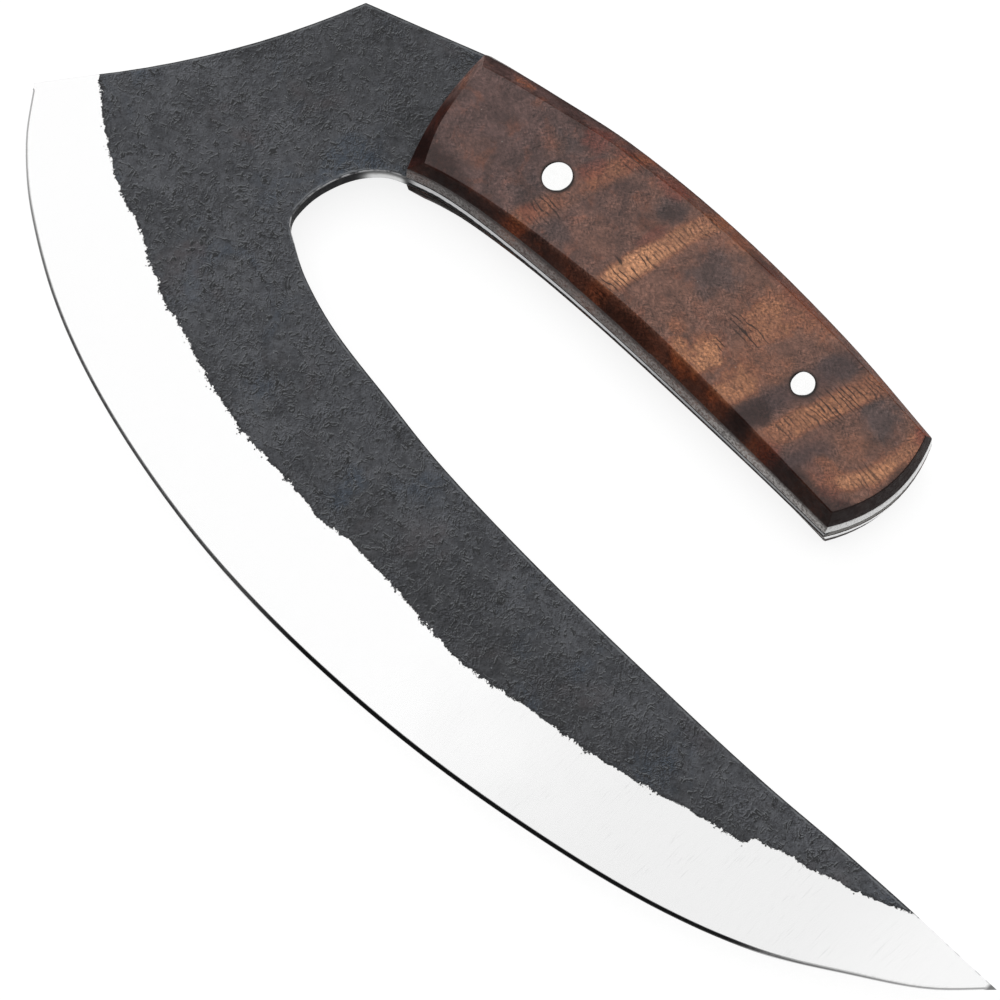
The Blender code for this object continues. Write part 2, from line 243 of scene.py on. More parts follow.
class NodeBench:
    """Adds and links the nodes of one shader tree."""

    def __init__(self, tree: bpy.types.NodeTree) -> None:
        """Takes the tree that it works on."""
        self.tree = tree

    def add(self, kind: str, **settings: Any) -> bpy.types.Node:
        """Adds a node.

        Args:
            kind: the node's type.
            settings: its plain properties.

        Returns:
            The new node.
        """
        made = self.tree.nodes.new(kind)
        for name, value in settings.items():
            setattr(made, name, value)
        return made

    def feed(self, socket: Socket, value: Any) -> None:
        """Links a socket's source to it, or sets its value.

        Args:
            socket: the input.
            value: another node's output, a number or a colour.
        """
        if isinstance(value, Socket):
            self.tree.links.new(value, socket)
        elif socket.type == "RGBA":
            socket.default_value = (*value[:3], 1.0)
        else:
            socket.default_value = value

    def wire(self, node: bpy.types.Node, values: dict) -> bpy.types.Node:
        """Feeds some of a node's inputs.

        Args:
            node: the node.
            values: what each input gets, by its name or number.

        Returns:
            The same node.
        """
        for name, value in values.items():
            self.feed(node.inputs[name], value)
        return node

    def math(self, operation: str, first: Any, second: Any = 0.0, third: Any = 0.0) -> Socket:
        """A math node's result.

        Args:
            operation: its operation.
            first: the first value.
            second: the second value.
            third: the third value.

        Returns:
            The value's socket.
        """
        made = self.add("ShaderNodeMath", operation=operation)
        return self.wire(made, {0: first, 1: second, 2: third}).outputs[0]

    def times(self, value: Any, *factors: Any) -> Socket:
        """A value multiplied by some factors.

        Args:
            value: the value.
            factors: the factors.

        Returns:
            The product's socket.
        """
        for factor in factors:
            value = self.math("MULTIPLY", value, factor)
        return value

    def less(self, first: Any, second: Any) -> Socket:
        """The first value less the second."""
        return self.math("SUBTRACT", first, second)

    def plus(self, value: Any, factor: Any, more: Any) -> Socket:
        """A value times a factor, plus one more value."""
        return self.math("MULTIPLY_ADD", value, factor, more)

    def most(self, first: Any, second: Any) -> Socket:
        """The greater of two values."""
        return self.math("MAXIMUM", first, second)

    def least(self, first: Any, second: Any) -> Socket:
        """The smaller of two values."""
        return self.math("MINIMUM", first, second)

    def away(self, value: Any) -> Socket:
        """How far a value is from nothing."""
        return self.math("ABSOLUTE", value)

    def step(self, value: Any, low: Any, high: Any, to_low: float = 0.0, to_high: float = 1.0) -> Socket:
        """A smooth step between two values.

        Args:
            value: what is stepped.
            low: where the step starts.
            high: where it ends.
            to_low: the result at low.
            to_high: the result at high.

        Returns:
            The stepped value's socket.
        """
        made = self.add("ShaderNodeMapRange", interpolation_type="SMOOTHSTEP")
        return self.wire(made, {0: value, 1: low, 2: high, 3: to_low, 4: to_high}).outputs[0]

    def vector(self, operation: str, first: Any, second: Any = None) -> bpy.types.Node:
        """A vector math node.

        Args:
            operation: its operation.
            first: the first vector.
            second: the second one, where the operation takes two.

        Returns:
            The node.
        """
        made = self.add("ShaderNodeVectorMath", operation=operation)
        return self.wire(made, {0: first} if second is None else {0: first, 1: second})

    def length(self, vector: Any) -> Socket:
        """The length of a vector."""
        return self.vector("LENGTH", vector).outputs["Value"]

    def scaled(self, vector: Any, factors: Sequence[float]) -> Socket:
        """A vector with each part multiplied by its own factor."""
        return self.vector("MULTIPLY", vector, factors).outputs[0]

    def shifted(self, vector: Any, step: Sequence[float]) -> Socket:
        """A vector with a step added to it."""
        return self.vector("ADD", vector, step).outputs[0]

    def rotated(self, vector: Any, angle: Any) -> Socket:
        """A vector turned about Z by an angle in radians."""
        made = self.add("ShaderNodeVectorRotate", rotation_type="Z_AXIS")
        return self.wire(made, {"Vector": vector, "Angle": angle}).outputs[0]

    def turned(self, vector: Any, degrees: float) -> Socket:
        """A vector turned about Z by an angle in degrees."""
        return self.rotated(vector, math.radians(degrees))

    def noise(
        self, vector: Any, size: float, detail: float = 2.0, rough: float = 0.5, warp: float = 0.0
    ) -> Socket:
        """Fractal noise with grains of a size.

        Args:
            vector: the coordinates.
            size: the grains' size in the coordinates' unit.
            detail: how many finer layers it has.
            rough: how strong they are.
            warp: how far it is distorted.

        Returns:
            The noise value's socket, near 0.5 on average.
        """
        made = self.add("ShaderNodeTexNoise")
        self.wire(made, {"Vector": vector, "Scale": 1.0 / size})
        return self.wire(made, {"Detail": detail, "Roughness": rough, "Distortion": warp}).outputs["Fac"]

    def sway(self, *settings: Any) -> Socket:
        """Noise that swings about nothing, with the settings of noise()."""
        return self.less(self.noise(*settings), 0.5)

    def mix(self, share: Any, first: Any, second: Any, blend: str = "MIX") -> Socket:
        """A colour between two.

        Args:
            share: the second colour's share.
            first: the first colour.
            second: the second colour.
            blend: the blend type.

        Returns:
            The colour's socket.
        """
        made = self.add("ShaderNodeMix", data_type="RGBA", blend_type=blend)
        return self.wire(made, {"Factor": share, 6: first, 7: second}).outputs[2]

    def stain(self, colour: Any, mask: Any, strength: float, other: Any) -> Socket:
        """A colour stained with another one where a mask shows."""
        return self.mix(self.times(mask, strength), colour, other)

    def shade(self, colour: Any, level: Any) -> Socket:
        """A colour multiplied by a brightness."""
        return self.mix(1.0, colour, self.grey(level), "MULTIPLY")

    def blend(self, share: Any, first: Any, second: Any) -> Socket:
        """A number between two.

        Args:
            share: the second number's share.
            first: the first number.
            second: the second number.

        Returns:
            The number's socket.
        """
        made = self.add("ShaderNodeMix", data_type="FLOAT")
        return self.wire(made, {0: share, 2: first, 3: second}).outputs[0]

    def profile(self, value: Any, low: float, high: float, levels: Sequence[float]) -> Socket:
        """A value read off evenly spaced levels.

        Args:
            value: where it is read.
            low: the place of the first level.
            high: the place of the last one.
            levels: the levels.

        Returns:
            The value's socket.
        """
        share = self.plus(value, 1 / (high - low), -low / (high - low))
        made = self.add("ShaderNodeValToRGB")
        ramp = made.color_ramp
        ramp.interpolation = "EASE"
        last = len(levels) - 1
        for index in range(1, last):
            ramp.elements.new(index / last)
        for element, level in zip(ramp.elements, levels):
            element.color = (level, level, level, 1.0)
        return self.wire(made, {0: share}).outputs[0]

    def grey(self, value: Any) -> Socket:
        """A grey colour of a value."""
        return self.wire(self.add("ShaderNodeCombineColor"), {0: value, 1: value, 2: value}).outputs[0]

    def attribute(self, name: str) -> Socket:
        """A number that the piece's mesh carries."""
        return self.add("ShaderNodeAttribute", attribute_name=name).outputs["Fac"]

    def plan(self) -> Socket:
        """Plan places in millimetres, from Object coordinates.

        Returns:
            The places' socket.
        """
        mapping = self.add("ShaderNodeMapping")
        mapping.inputs["Location"].default_value = [-value / MM for value in HEEL]
        mapping.inputs["Scale"].default_value = (1 / MM, 1 / MM, 1 / MM)
        place = self.add("ShaderNodeTexCoord").outputs["Object"]
        return self.wire(mapping, {"Vector": place}).outputs["Vector"]

    def parts(self, vector: Any) -> tuple:
        """The three parts of a vector."""
        return tuple(self.wire(self.add("ShaderNodeSeparateXYZ"), {0: vector}).outputs)

    def group(self, tree: bpy.types.NodeTree, **values: Any) -> bpy.types.Node:
        """Places a node group, with its inputs by name."""
        return self.wire(self.add("ShaderNodeGroup", node_tree=tree), values)

    def mask(self, tree: bpy.types.NodeTree, **values: Any) -> Socket:
        """The first output of a node group, with its inputs by name."""
        return self.group(tree, **values).outputs[0]

    def lit(self, tree: bpy.types.NodeTree, vector: Any, reach: float) -> Socket:
        """How steeply a height group rises along x: the light and dark sides of its ridges.

        Args:
            tree: the height's group.
            vector: the coordinates.
            reach: how far ahead and behind the height is compared.

        Returns:
            The difference's socket, more than nothing on the lit sides.
        """
        places = (self.shifted(vector, (step, 0.0, 0.0)) for step in (reach, -reach))
        return self.less(*(self.mask(tree, Vector=place) for place in places))

    def bump(self, height: Any, depth: float, strength: float = 1.0) -> Socket:
        """A normal from a height.

        Args:
            height: the height's socket.
            depth: how deep a height of one is, in metres.
            strength: the bump's share.

        Returns:
            The normal's socket.
        """
        values = {"Strength": strength, "Distance": depth, "Height": height}
        return self.wire(self.add("ShaderNodeBump"), values).outputs[0]


def new_group(name: str, inputs: dict, outputs: dict) -> tuple:
    """An empty shader node group with named sockets.

    Args:
        name: the group's name.
        inputs: what each input starts at, by its name: a number, a vector, or None for a linked vector.
        outputs: each output's socket type, by its name.

    Returns:
        The tree, a bench for it, the input node's outputs and the output node.
    """
    tree = bpy.data.node_groups.new(name, "ShaderNodeTree")
    for label, value in inputs.items():
        kind = "NodeSocketFloat" if isinstance(value, float) else "NodeSocketVector"
        socket = tree.interface.new_socket(name=label, in_out="INPUT", socket_type=kind)
        if value is not None:
            socket.default_value = value
    for label, kind in outputs.items():
        tree.interface.new_socket(name=label, in_out="OUTPUT", socket_type="NodeSocket" + kind)
    bench = NodeBench(tree)
    return tree, bench, bench.add("NodeGroupInput").outputs, bench.add("NodeGroupOutput")


class Effects:
    """The node groups that more than one material, or more than one place in a material, uses."""

    def __init__(self) -> None:
        """Builds every group once, and keeps each under its own name."""
        self.mottle = self._mottle()
        self.scratches = self._scratches()
        self.specks = self._specks()
        self.figure_band = self._figure_band()
        self.patch = self._patch()
        self.crinkle = self._crinkle()

    @staticmethod
    def _shrunk(bench: NodeBench, vector: Any, size: Any) -> tuple:
        """Coordinates in which a size counts as one.

        Args:
            bench: the group's bench.
            vector: the coordinates.
            size: the size.

        Returns:
            The coordinates' socket, and the share that they were multiplied by.
        """
        share = bench.math("DIVIDE", 1.0, size)
        scaled = bench.wire(bench.add("ShaderNodeVectorMath", operation="SCALE"), {0: vector, "Scale": share})
        return scaled.outputs[0], share

    def _mottle(self) -> bpy.types.NodeTree:
        """Soft blotches: broad ones with finer ones over them.

        Returns:
            The group.
        """
        inputs = {"Vector": None, "Size": 8.0, "Low": 0.4, "High": 0.6}
        tree, bench, given, result = new_group("mottle", inputs, {"Mask": "Float"})
        broad = bench.noise(self._shrunk(bench, given["Vector"], given["Size"])[0], 1.0, 4.0, 0.55, 0.6)
        bench.wire(result, {"Mask": bench.step(broad, given["Low"], given["High"])})
        return tree

    def _scratches(self) -> bpy.types.NodeTree:
        """Fine straight scratches in one direction, broken into lengths.

        Returns:
            The group.
        """
        inputs = {"Vector": None, "Angle": 0.0, "Width": 0.12, "Length": 9.0, "Amount": 0.3}
        tree, bench, given, result = new_group("scratches", inputs, {"Mask": "Float"})
        across, along = (bench.math("DIVIDE", 1.0, given[size]) for size in ("Width", "Length"))
        x, y, z = bench.parts(bench.rotated(given["Vector"], given["Angle"]))
        places = {0: bench.times(x, along), 1: bench.times(y, across), 2: bench.times(z, along)}
        joined = bench.wire(bench.add("ShaderNodeCombineXYZ"), places)
        lines = bench.noise(joined.outputs[0], 1.0, 1.0, 0.5)
        over = bench.less(lines, bench.less(0.78, bench.times(given["Amount"], 0.3)))
        bench.wire(result, {"Mask": bench.step(over, 0.0, 0.05)})
        return tree

    def _specks(self) -> bpy.types.NodeTree:
        """Small scattered spots, each in its own cell.

        Returns:
            The group.
        """
        inputs = {"Vector": None, "Spacing": 3.0, "Size": 0.12, "Amount": 0.5}
        tree, bench, given, result = new_group("specks", inputs, {"Mask": "Float"})
        vector, share = self._shrunk(bench, given["Vector"], given["Spacing"])
        spots = bench.wire(bench.add("ShaderNodeTexVoronoi", feature="F1"), {"Vector": vector, "Scale": 1.0})
        near = bench.math("LESS_THAN", spots.outputs["Distance"], bench.times(given["Size"], share))
        kept = bench.math("LESS_THAN", bench.parts(spots.outputs["Color"])[0], given["Amount"])
        bench.wire(result, {"Mask": bench.times(near, kept)})
        return tree

    def _crinkle(self) -> bpy.types.NodeTree:
        """The crinkled skin of forge scale: curved ridges, broken rings and fine grain.

        Returns:
            The group.
        """
        tree, bench, given, result = new_group("crinkle", {"Vector": None}, {"Height": "Float"})
        vector = given["Vector"]
        ridges = bench.step(bench.away(bench.sway(vector, 2.2, 3.0, 0.55, 1.5)), 0.085, 0.0)
        turned = bench.turned(vector, 50.0)
        rings = bench.step(bench.away(bench.sway(turned, 1.15, 2.0, 0.55, 1.1)), 0.10, 0.0)
        height = bench.plus(ridges, 0.55, bench.times(rings, 0.40))
        bench.wire(result, {"Height": bench.plus(bench.noise(vector, 0.45, 3.0, 0.6), 0.75, height)})
        return tree

    def _figure_band(self) -> bpy.types.NodeTree:
        """A wavy band of figure across the grip: 1 inside, 0 outside, soft at its borders.

        Returns:
            The group.
        """
        inputs = {
            "Vector": None, "Centre": 100.0, "Slant": 0.3, "Bend": 0.0,
            "Width": 5.0, "Softness": 1.0, "Wander": 2.0,
        }
        tree, bench, given, result = new_group("figure_band", inputs, {"Mask": "Float"})
        x, y, _ = bench.parts(given["Vector"])
        up = bench.less(y, 60.0)
        bent = bench.times(bench.times(up, up), given["Bend"])
        centre = bench.math("ADD", bench.plus(up, given["Slant"], given["Centre"]), bent)
        wander = bench.times(bench.sway(given["Vector"], 9.0, 3.0, 0.6), bench.times(given["Wander"], 4.0))
        reach = bench.away(bench.math("ADD", bench.less(x, centre), wander))
        half = bench.times(given["Width"], 0.5)
        inner, outer = (bench.math(side, half, given["Softness"]) for side in ("SUBTRACT", "ADD"))
        bench.wire(result, {"Mask": bench.step(reach, outer, inner)})
        return tree

    def _patch(self) -> bpy.types.NodeTree:
        """A soft oval patch round a plan place, with an uneven border.

        Returns:
            The group.
        """
        inputs = {"Vector": None, "Place": None, "Reach": (5.0, 5.0, 20.0), "Slant": 0.0}
        tree, bench, given, result = new_group("patch", inputs, {"Mask": "Float"})
        moved = bench.vector("SUBTRACT", given["Vector"], given["Place"]).outputs[0]
        shares = bench.vector("DIVIDE", bench.rotated(moved, given["Slant"]), given["Reach"]).outputs[0]
        reach = bench.plus(bench.sway(given["Vector"], 4.0, 3.0, 0.6), 1.6, bench.length(shares))
        bench.wire(result, {"Mask": bench.step(reach, 1.25, 0.55)})
        return tree


# Finishes


def principled(name: str) -> tuple:
    """A new material with its shader.

    Args:
        name: the material's name.

    Returns:
        The material, a bench for its tree and its Principled shader.
    """
    material = bpy.data.materials.new(name)
    material.use_nodes = True
    bench = NodeBench(material.node_tree)
    return material, bench, material.node_tree.nodes["Principled BSDF"]


@dataclass(frozen=True)
class ForgedSteel:
    """Dark forge scale down to a ragged border, and bright ground steel below it."""

    effects: Effects
    scale_mid: tuple = (0.042, 0.044, 0.050)
    scale_blue: tuple = (0.036, 0.049, 0.068)
    scale_dark: tuple = (0.019, 0.020, 0.023)
    scale_light: tuple = (0.072, 0.075, 0.083)
    scale_warm: tuple = (0.053, 0.044, 0.046)
    bright: tuple = (1.0, 1.0, 1.0)
    worn: tuple = (0.42, 0.42, 0.43)
    black_mark_and_shade: tuple = (0.005, 0.005, 0.006)
    pale_mark_and_glint: tuple = (0.19, 0.20, 0.21)

    def build(self) -> bpy.types.Material:
        """Builds the look of the plate's two faces.

        Returns:
            The material.
        """
        material, bench, shader = principled("forged_steel_look")
        plan = bench.plan()
        border = self._border(bench, plan)
        forged = bench.step(border, -0.05, 0.08)
        scale_colour, scale_height = self._scale(bench, plan)
        scale_colour = self._rims(bench, plan, border, scale_colour)
        ground_colour, ground_height = self._ground(bench, plan)
        islands = bench.mask(self.effects.specks, Vector=plan, Spacing=1.1, Size=0.20, Amount=0.34)
        near = bench.times(bench.step(border, -1.0, -0.3), bench.step(border, 0.1, -0.1))
        bare = bench.less(1.0, bench.most(forged, bench.times(islands, near)))
        rough_scale = bench.step(bench.noise(plan, 3.0, 4.0, 0.6), 0.3, 0.7, 0.38, 0.58)
        rubbed = bench.noise(bench.scaled(plan, (1.0, 0.12, 1.0)), 0.5, 3.0)
        rough_ground = bench.step(rubbed, 0.3, 0.7, 0.12, 0.20)
        height = bench.math("ADD", bench.blend(bare, scale_height, ground_height), bench.times(forged, 0.45))
        bench.wire(shader, {
            "Base Color": bench.mix(bare, scale_colour, ground_colour),
            "Metallic": bench.times(bare, 0.97),
            "Roughness": bench.blend(bare, rough_scale, rough_ground),
            "Normal": bench.bump(height, 0.10 * MM),
            "Specular IOR Level": 0.38,
        })
        return material

    def _border(self, bench: NodeBench, plan: Any) -> Socket:
        """Distance to the forge scale's ragged border, more than nothing on the scale.

        Args:
            bench: the material's bench.
            plan: plan coordinates.

        Returns:
            The distance's socket, in millimetres.
        """
        border = bench.attribute("border_mm")
        lively = bench.step(bench.noise(plan, 9.0, 2.0), 0.35, 0.65, 0.50, 1.25)
        lively = bench.most(lively, bench.step(bench.parts(plan)[0], 17.0, 13.0))
        torn = bench.sway(bench.scaled(plan, (1.0, 0.7, 1.0)), 2.6, 3.0, 0.55, 0.3)
        teeth = bench.sway(bench.turned(plan, 25.0), 0.62, 4.0, 0.70)
        moved = bench.plus(torn, bench.times(lively, 2.2), border)
        return bench.plus(teeth, bench.times(lively, 2.6), moved)

    def _rims(self, bench: NodeBench, plan: Any, border: Any, colour: Any) -> Socket:
        """The scale's colour with a black outline and a pale line inside it, as painted shade and highlight
        on the rounded arris, the throat's worn arris, bright as a painted highlight, and the scorched dark
        lower border.

        Args:
            bench: the material's bench.
            plan: plan coordinates.
            border: distance to the ragged border.
            colour: the scale's colour.

        Returns:
            The colour's socket.
        """
        x, y, _ = bench.parts(plan)
        rim = bench.attribute("rim_mm")
        uneven = bench.sway(plan, 1.1, 3.0, 0.6)
        rim = bench.plus(uneven, 0.35, rim)
        darkening = bench.times(bench.step(border, 0.75, 0.15), bench.step(uneven, -0.12, 0.10, 0.25, 0.85))
        lengths = bench.step(bench.noise(plan, 4.0, 2.0), 0.40, 0.60, 0.05, 0.65)
        # Painted highlight and shade on the rounded arris: a pale line inside a black outline
        pale = bench.times(bench.step(rim, 0.85, 0.55), bench.step(rim, 0.30, 0.45), lengths)
        colour = bench.mix(pale, colour, self.pale_mark_and_glint)
        outline = bench.times(bench.step(rim, 0.38, 0.16), 0.82)
        colour = bench.mix(bench.most(outline, darkening), colour, self.black_mark_and_shade)
        inner = bench.attribute("inner_side")
        # The throat's worn arris, bright as a painted highlight
        throat = bench.times(bench.step(y, 8.0, 13.0), bench.step(x, 74.0, 69.0), inner)
        broken = bench.step(bench.noise(plan, 1.6, 2.0), 0.36, 0.58, 0.10, 1.0)
        arris = bench.times(bench.step(rim, 0.30, 0.16), throat, broken)
        return bench.mix(arris, colour, self.worn)

    def _scale(self, bench: NodeBench, plan: Any) -> tuple:
        """Colour and height of the forge scale.

        Args:
            bench: the material's bench.
            plan: plan coordinates.

        Returns:
            The colour's socket and the height's.
        """
        effects = self.effects

        colour: Any = self.scale_mid
        # Blotches: the turn that keeps two sets from agreeing, their size, their borders, strength and colour
        for turn, size, low, high, strength, stain in (
            (0.0, 13.0, 0.44, 0.58, 0.58, self.scale_dark),
            (110.0, 9.0, 0.50, 0.64, 0.58, self.scale_light),
            (150.0, 4.2, 0.48, 0.62, 0.48, self.scale_dark),
            (200.0, 3.4, 0.50, 0.64, 0.36, self.scale_light),
            (40.0, 20.0, 0.52, 0.68, 0.62, self.scale_blue),
            (75.0, 15.0, 0.56, 0.72, 0.6, self.scale_warm),
            (20.0, 1.7, 0.42, 0.64, 0.42, self.scale_light),
        ):
            place = bench.turned(plan, turn)
            blotches = bench.mask(effects.mottle, Vector=place, Size=size, Low=low, High=high)
            colour = bench.stain(colour, blotches, strength, stain)
        here = bench.mask(effects.crinkle, Vector=plan)
        lively = bench.step(bench.noise(bench.turned(plan, 15.0), 6.5, 2.0), 0.38, 0.62, 0.30, 1.20)
        # Painted light and shade: the crinkles' ridges lit from -x, over the broad tone
        lit = bench.times(bench.lit(effects.crinkle, plan, 0.13), lively)
        grain = bench.plus(lit, 1.15, self._tone(bench, plan))
        grain = bench.least(bench.most(grain, 0.22), 3.0)
        fine = bench.noise(bench.turned(plan, 63.0), 0.40, 3.0, 0.7)
        grain = bench.times(grain, bench.step(fine, 0.28, 0.72, 0.76, 1.26))
        colour = bench.shade(colour, grain)
        # Painted highlight: a pale line along the raised side of each crack
        beside = self._veins(bench, bench.shifted(plan, (0.24, -0.12, 0.0)), 20.0, 3.2)
        colour = bench.stain(colour, beside, 0.50, self.pale_mark_and_glint)
        colour = bench.stain(colour, self._veins(bench, plan, 20.0, 3.2), 0.92, self.black_mark_and_shade)
        colour = bench.stain(colour, self._veins(bench, plan, 140.0, 1.7), 0.66, self.black_mark_and_shade)
        pits = bench.mask(effects.specks, Vector=plan, Spacing=1.25, Size=0.19, Amount=0.26)
        colour = bench.stain(colour, pits, 0.60, self.black_mark_and_shade)
        specks = bench.mask(effects.specks, Vector=plan, Spacing=2.0, Size=0.15, Amount=0.22)
        scores = {"Vector": plan, "Amount": 0.12}
        long_marks = bench.mask(effects.scratches, Angle=0.9, Width=0.16, Length=3.4, **scores)
        cross_marks = bench.mask(effects.scratches, Angle=-0.5, Width=0.14, Length=2.4, **scores)
        marks = bench.most(specks, bench.times(bench.most(long_marks, cross_marks), 0.5))
        colour = bench.stain(colour, marks, 0.7, self.pale_mark_and_glint)
        height = bench.times(here, lively, 0.55)
        return colour, bench.math("ADD", height, bench.noise(plan, 4.0, 2.0, 0.5))

    def _tone(self, bench: NodeBench, plan: Any) -> Socket:
        """The scale's broad light and dark: paler at the heel and along the spine, darker along the belly.

        Args:
            bench: the material's bench.
            plan: plan coordinates.

        Returns:
            The brightness's socket, near one.
        """
        x, y, _ = bench.parts(plan)
        cloud = bench.plus(bench.noise(bench.turned(plan, 50.0), 11.0, 3.0, 0.55), 12.0, -6.0)
        level = bench.math("ADD", y, cloud)
        belly = bench.times(bench.step(level, -9.0, -16.0), bench.step(x, 75.0, 150.0))
        neck = bench.step(level, 26.0, 40.0)
        tone = bench.plus(belly, -0.44, 1.24)
        return bench.plus(neck, -0.28, tone)

    def _veins(self, bench: NodeBench, plan: Any, turn: float, size: float) -> Socket:
        """Thin crooked cracks in the scale, broken into short lengths.

        Args:
            bench: the material's bench.
            plan: plan coordinates.
            turn: how far the pattern is turned, so that no two sets agree.
            size: how large the cracks' bends are.

        Returns:
            The mask's socket.
        """
        bent = bench.noise(bench.turned(plan, turn), size, 3.0, 0.62, 0.9)
        thin = bench.step(bench.away(bench.less(bent, 0.5)), 0.034, 0.012)
        broken = bench.step(bench.noise(bench.turned(plan, turn + 60.0), 0.5 * size, 2.0), 0.46, 0.54)
        return bench.times(thin, broken)

    def _ground(self, bench: NodeBench, plan: Any) -> tuple:
        """Colour and height of the ground steel.

        Args:
            bench: the material's bench.
            plan: plan coordinates.

        Returns:
            The colour's socket and the height's.
        """
        x = bench.parts(plan)[0]
        streaks = bench.noise(bench.scaled(plan, (1.0, 0.05, 1.0)), 0.35, 3.0, 0.6)
        cloud = bench.noise(plan, 14.0, 3.0, 0.5)
        place = bench.plus(bench.less(cloud, 0.5), 24.0, x)
        # Painted reflection of a dimmer surround: the bevel greys towards the point, with scored streaks
        far = bench.times(bench.step(place, 138.0, 200.0), bench.step(x, 262.0, 232.0, 0.45, 1.0))
        light = bench.less(1.0, bench.times(far, 0.125))
        scored = bench.times(bench.step(streaks, 0.56, 0.74), bench.step(cloud, 0.42, 0.58, 0.2, 1.0))
        light = bench.less(light, bench.times(scored, far, 0.10))
        colour = bench.shade(self.bright, light)
        # Painted dark reflection in the cutting edge's micro-bevel: a black line along its middle, thin at
        # its ends, in dashes near the point and dark at the point
        edge = bench.attribute("edge_mm")
        near = bench.step(edge, 0.9, 0.7)
        middle = bench.times(bench.step(x, 94.0, 128.0), bench.step(x, 240.0, 226.0))
        line = bench.times(near, bench.times(middle, 0.93))
        thin = bench.step(bench.away(bench.less(edge, 0.32)), 0.26, 0.10, 0.0, 0.58)
        line = bench.most(line, bench.times(thin, bench.less(1.0, middle)))
        dashes = bench.times(bench.step(bench.noise(plan, 2.2, 1.0), 0.44, 0.52), bench.step(x, 246.0, 249.0))
        dashes = bench.times(dashes, bench.step(bench.attribute("rim_mm"), 0.34, 0.14, 0.0, 0.32))
        line = bench.most(line, bench.most(dashes, bench.step(x, 267.8, 268.8, 0.0, 0.8)))
        colour = bench.mix(line, colour, (0.012, 0.012, 0.013))
        return colour, bench.times(streaks, bench.plus(far, 0.020, 0.004))


@dataclass(frozen=True)
class ForgedEdge:
    """The plate's narrow walls: sooty, with one bright strip under the grip and worn steel in the throat, and
    painted light: a highlight on the strip's upper half and on the free end, shade at the strip's foot.
    """

    effects: Effects
    soot: tuple = (0.012, 0.012, 0.013)
    black_mark_and_shade: tuple = (0.004, 0.004, 0.004)
    strip: tuple = (0.46, 0.46, 0.47)
    worn: tuple = (0.62, 0.62, 0.62)

    def build(self) -> bpy.types.Material:
        """Builds the look of the plate's walls.

        Returns:
            The material.
        """
        material, bench, shader = principled("forged_edge_look")
        plan = bench.plan()
        x, y, z = bench.parts(plan)
        uneven = bench.sway(plan, 1.4, 3.0, 0.6)
        level = bench.plus(uneven, 0.9, z)
        tang = bench.times(bench.step(y, 35.0, 37.5), bench.step(x, 69.5, 73.0))
        # The strip: the tang's ground edge with a painted highlight on its upper half, dimming towards the
        # rear and, as painted shade, on the crown side
        lit_upper_half = bench.times(bench.step(level, -0.40, -0.10), bench.step(level, 2.2, 1.5, 0.35, 1.0))
        fade = bench.step(x, 118.0, 158.0, 1.0, 0.62)
        strip = bench.times(tang, bench.times(lit_upper_half, fade))
        crown_side = bench.step(y, 60.0, 64.0, 1.0, 0.5)
        strip = bench.times(strip, crown_side)
        # The worn turn of the tang's edge at the grip's front lower corner, fading towards its top, then a
        # painted highlight on the free end
        turn = bench.times(
            bench.step(x, 62.0, 64.5), bench.step(x, 71.0, 69.0), bench.step(y, 28.0, 32.0),
            bench.step(y, 42.0, 40.0), bench.step(level, 1.6, -0.6, 0.30, 1.0)
        )
        end = bench.step(bench.plus(y, -END_LEAN, x), 180.5, 180.9)
        turn = bench.most(turn, bench.times(end, bench.step(y, 42.0, 43.0)))
        grit = bench.mask(self.effects.mottle, Vector=plan, Size=0.9, Low=0.35, High=0.65)
        # Painted shade: black at the foot of the tang's edge under the grip, fading towards the rear
        foot_painted_shade = bench.times(bench.step(x, 120.0, 150.0, 1.0, 0.25), tang)
        colour = bench.mix(grit, self.soot, bench.mix(0.5, self.soot, (0.05, 0.05, 0.055)))
        colour = bench.mix(foot_painted_shade, colour, self.black_mark_and_shade)
        colour = bench.mix(strip, colour, self.strip)
        colour = bench.mix(turn, colour, self.worn)
        bare = bench.most(strip, turn)
        height = bench.noise(bench.scaled(plan, (1.0, 1.0, 2.0)), 0.9, 3.0, 0.6)
        bench.wire(shader, {
            "Base Color": colour,
            "Metallic": bench.times(bare, 0.95),
            "Roughness": bench.blend(bare, bench.step(grit, 0.0, 1.0, 0.55, 0.75), 0.30),
            "Normal": bench.bump(height, 0.05 * MM),
            "Specular IOR Level": 0.06,
        })
        return material


@dataclass(frozen=True)
class FigureBand:
    """One band of bright figure across the grip, in plan millimetres.

    The strengths go from the underside (y 46) to the crown (y 76) at even distances.
    """

    centre: float
    slant: float
    bend: float
    width: float
    softness: float
    wander: float
    gold: float
    strengths: tuple


@dataclass(frozen=True)
class FigurePatch:
    """One patch of figure on the grip: its middle, its reaches, its slant and its strength.

    Places and reaches are in plan millimetres. The depth is its reach from the middle plane.
    """

    x: float
    y: float
    reach_x: float
    reach_y: float
    slant: float
    strength: float
    depth: float = 30.0


def patch_rows(*rows: tuple) -> tuple:
    """Patches from rows of their numbers."""
    return tuple(FigurePatch(*row) for row in rows)


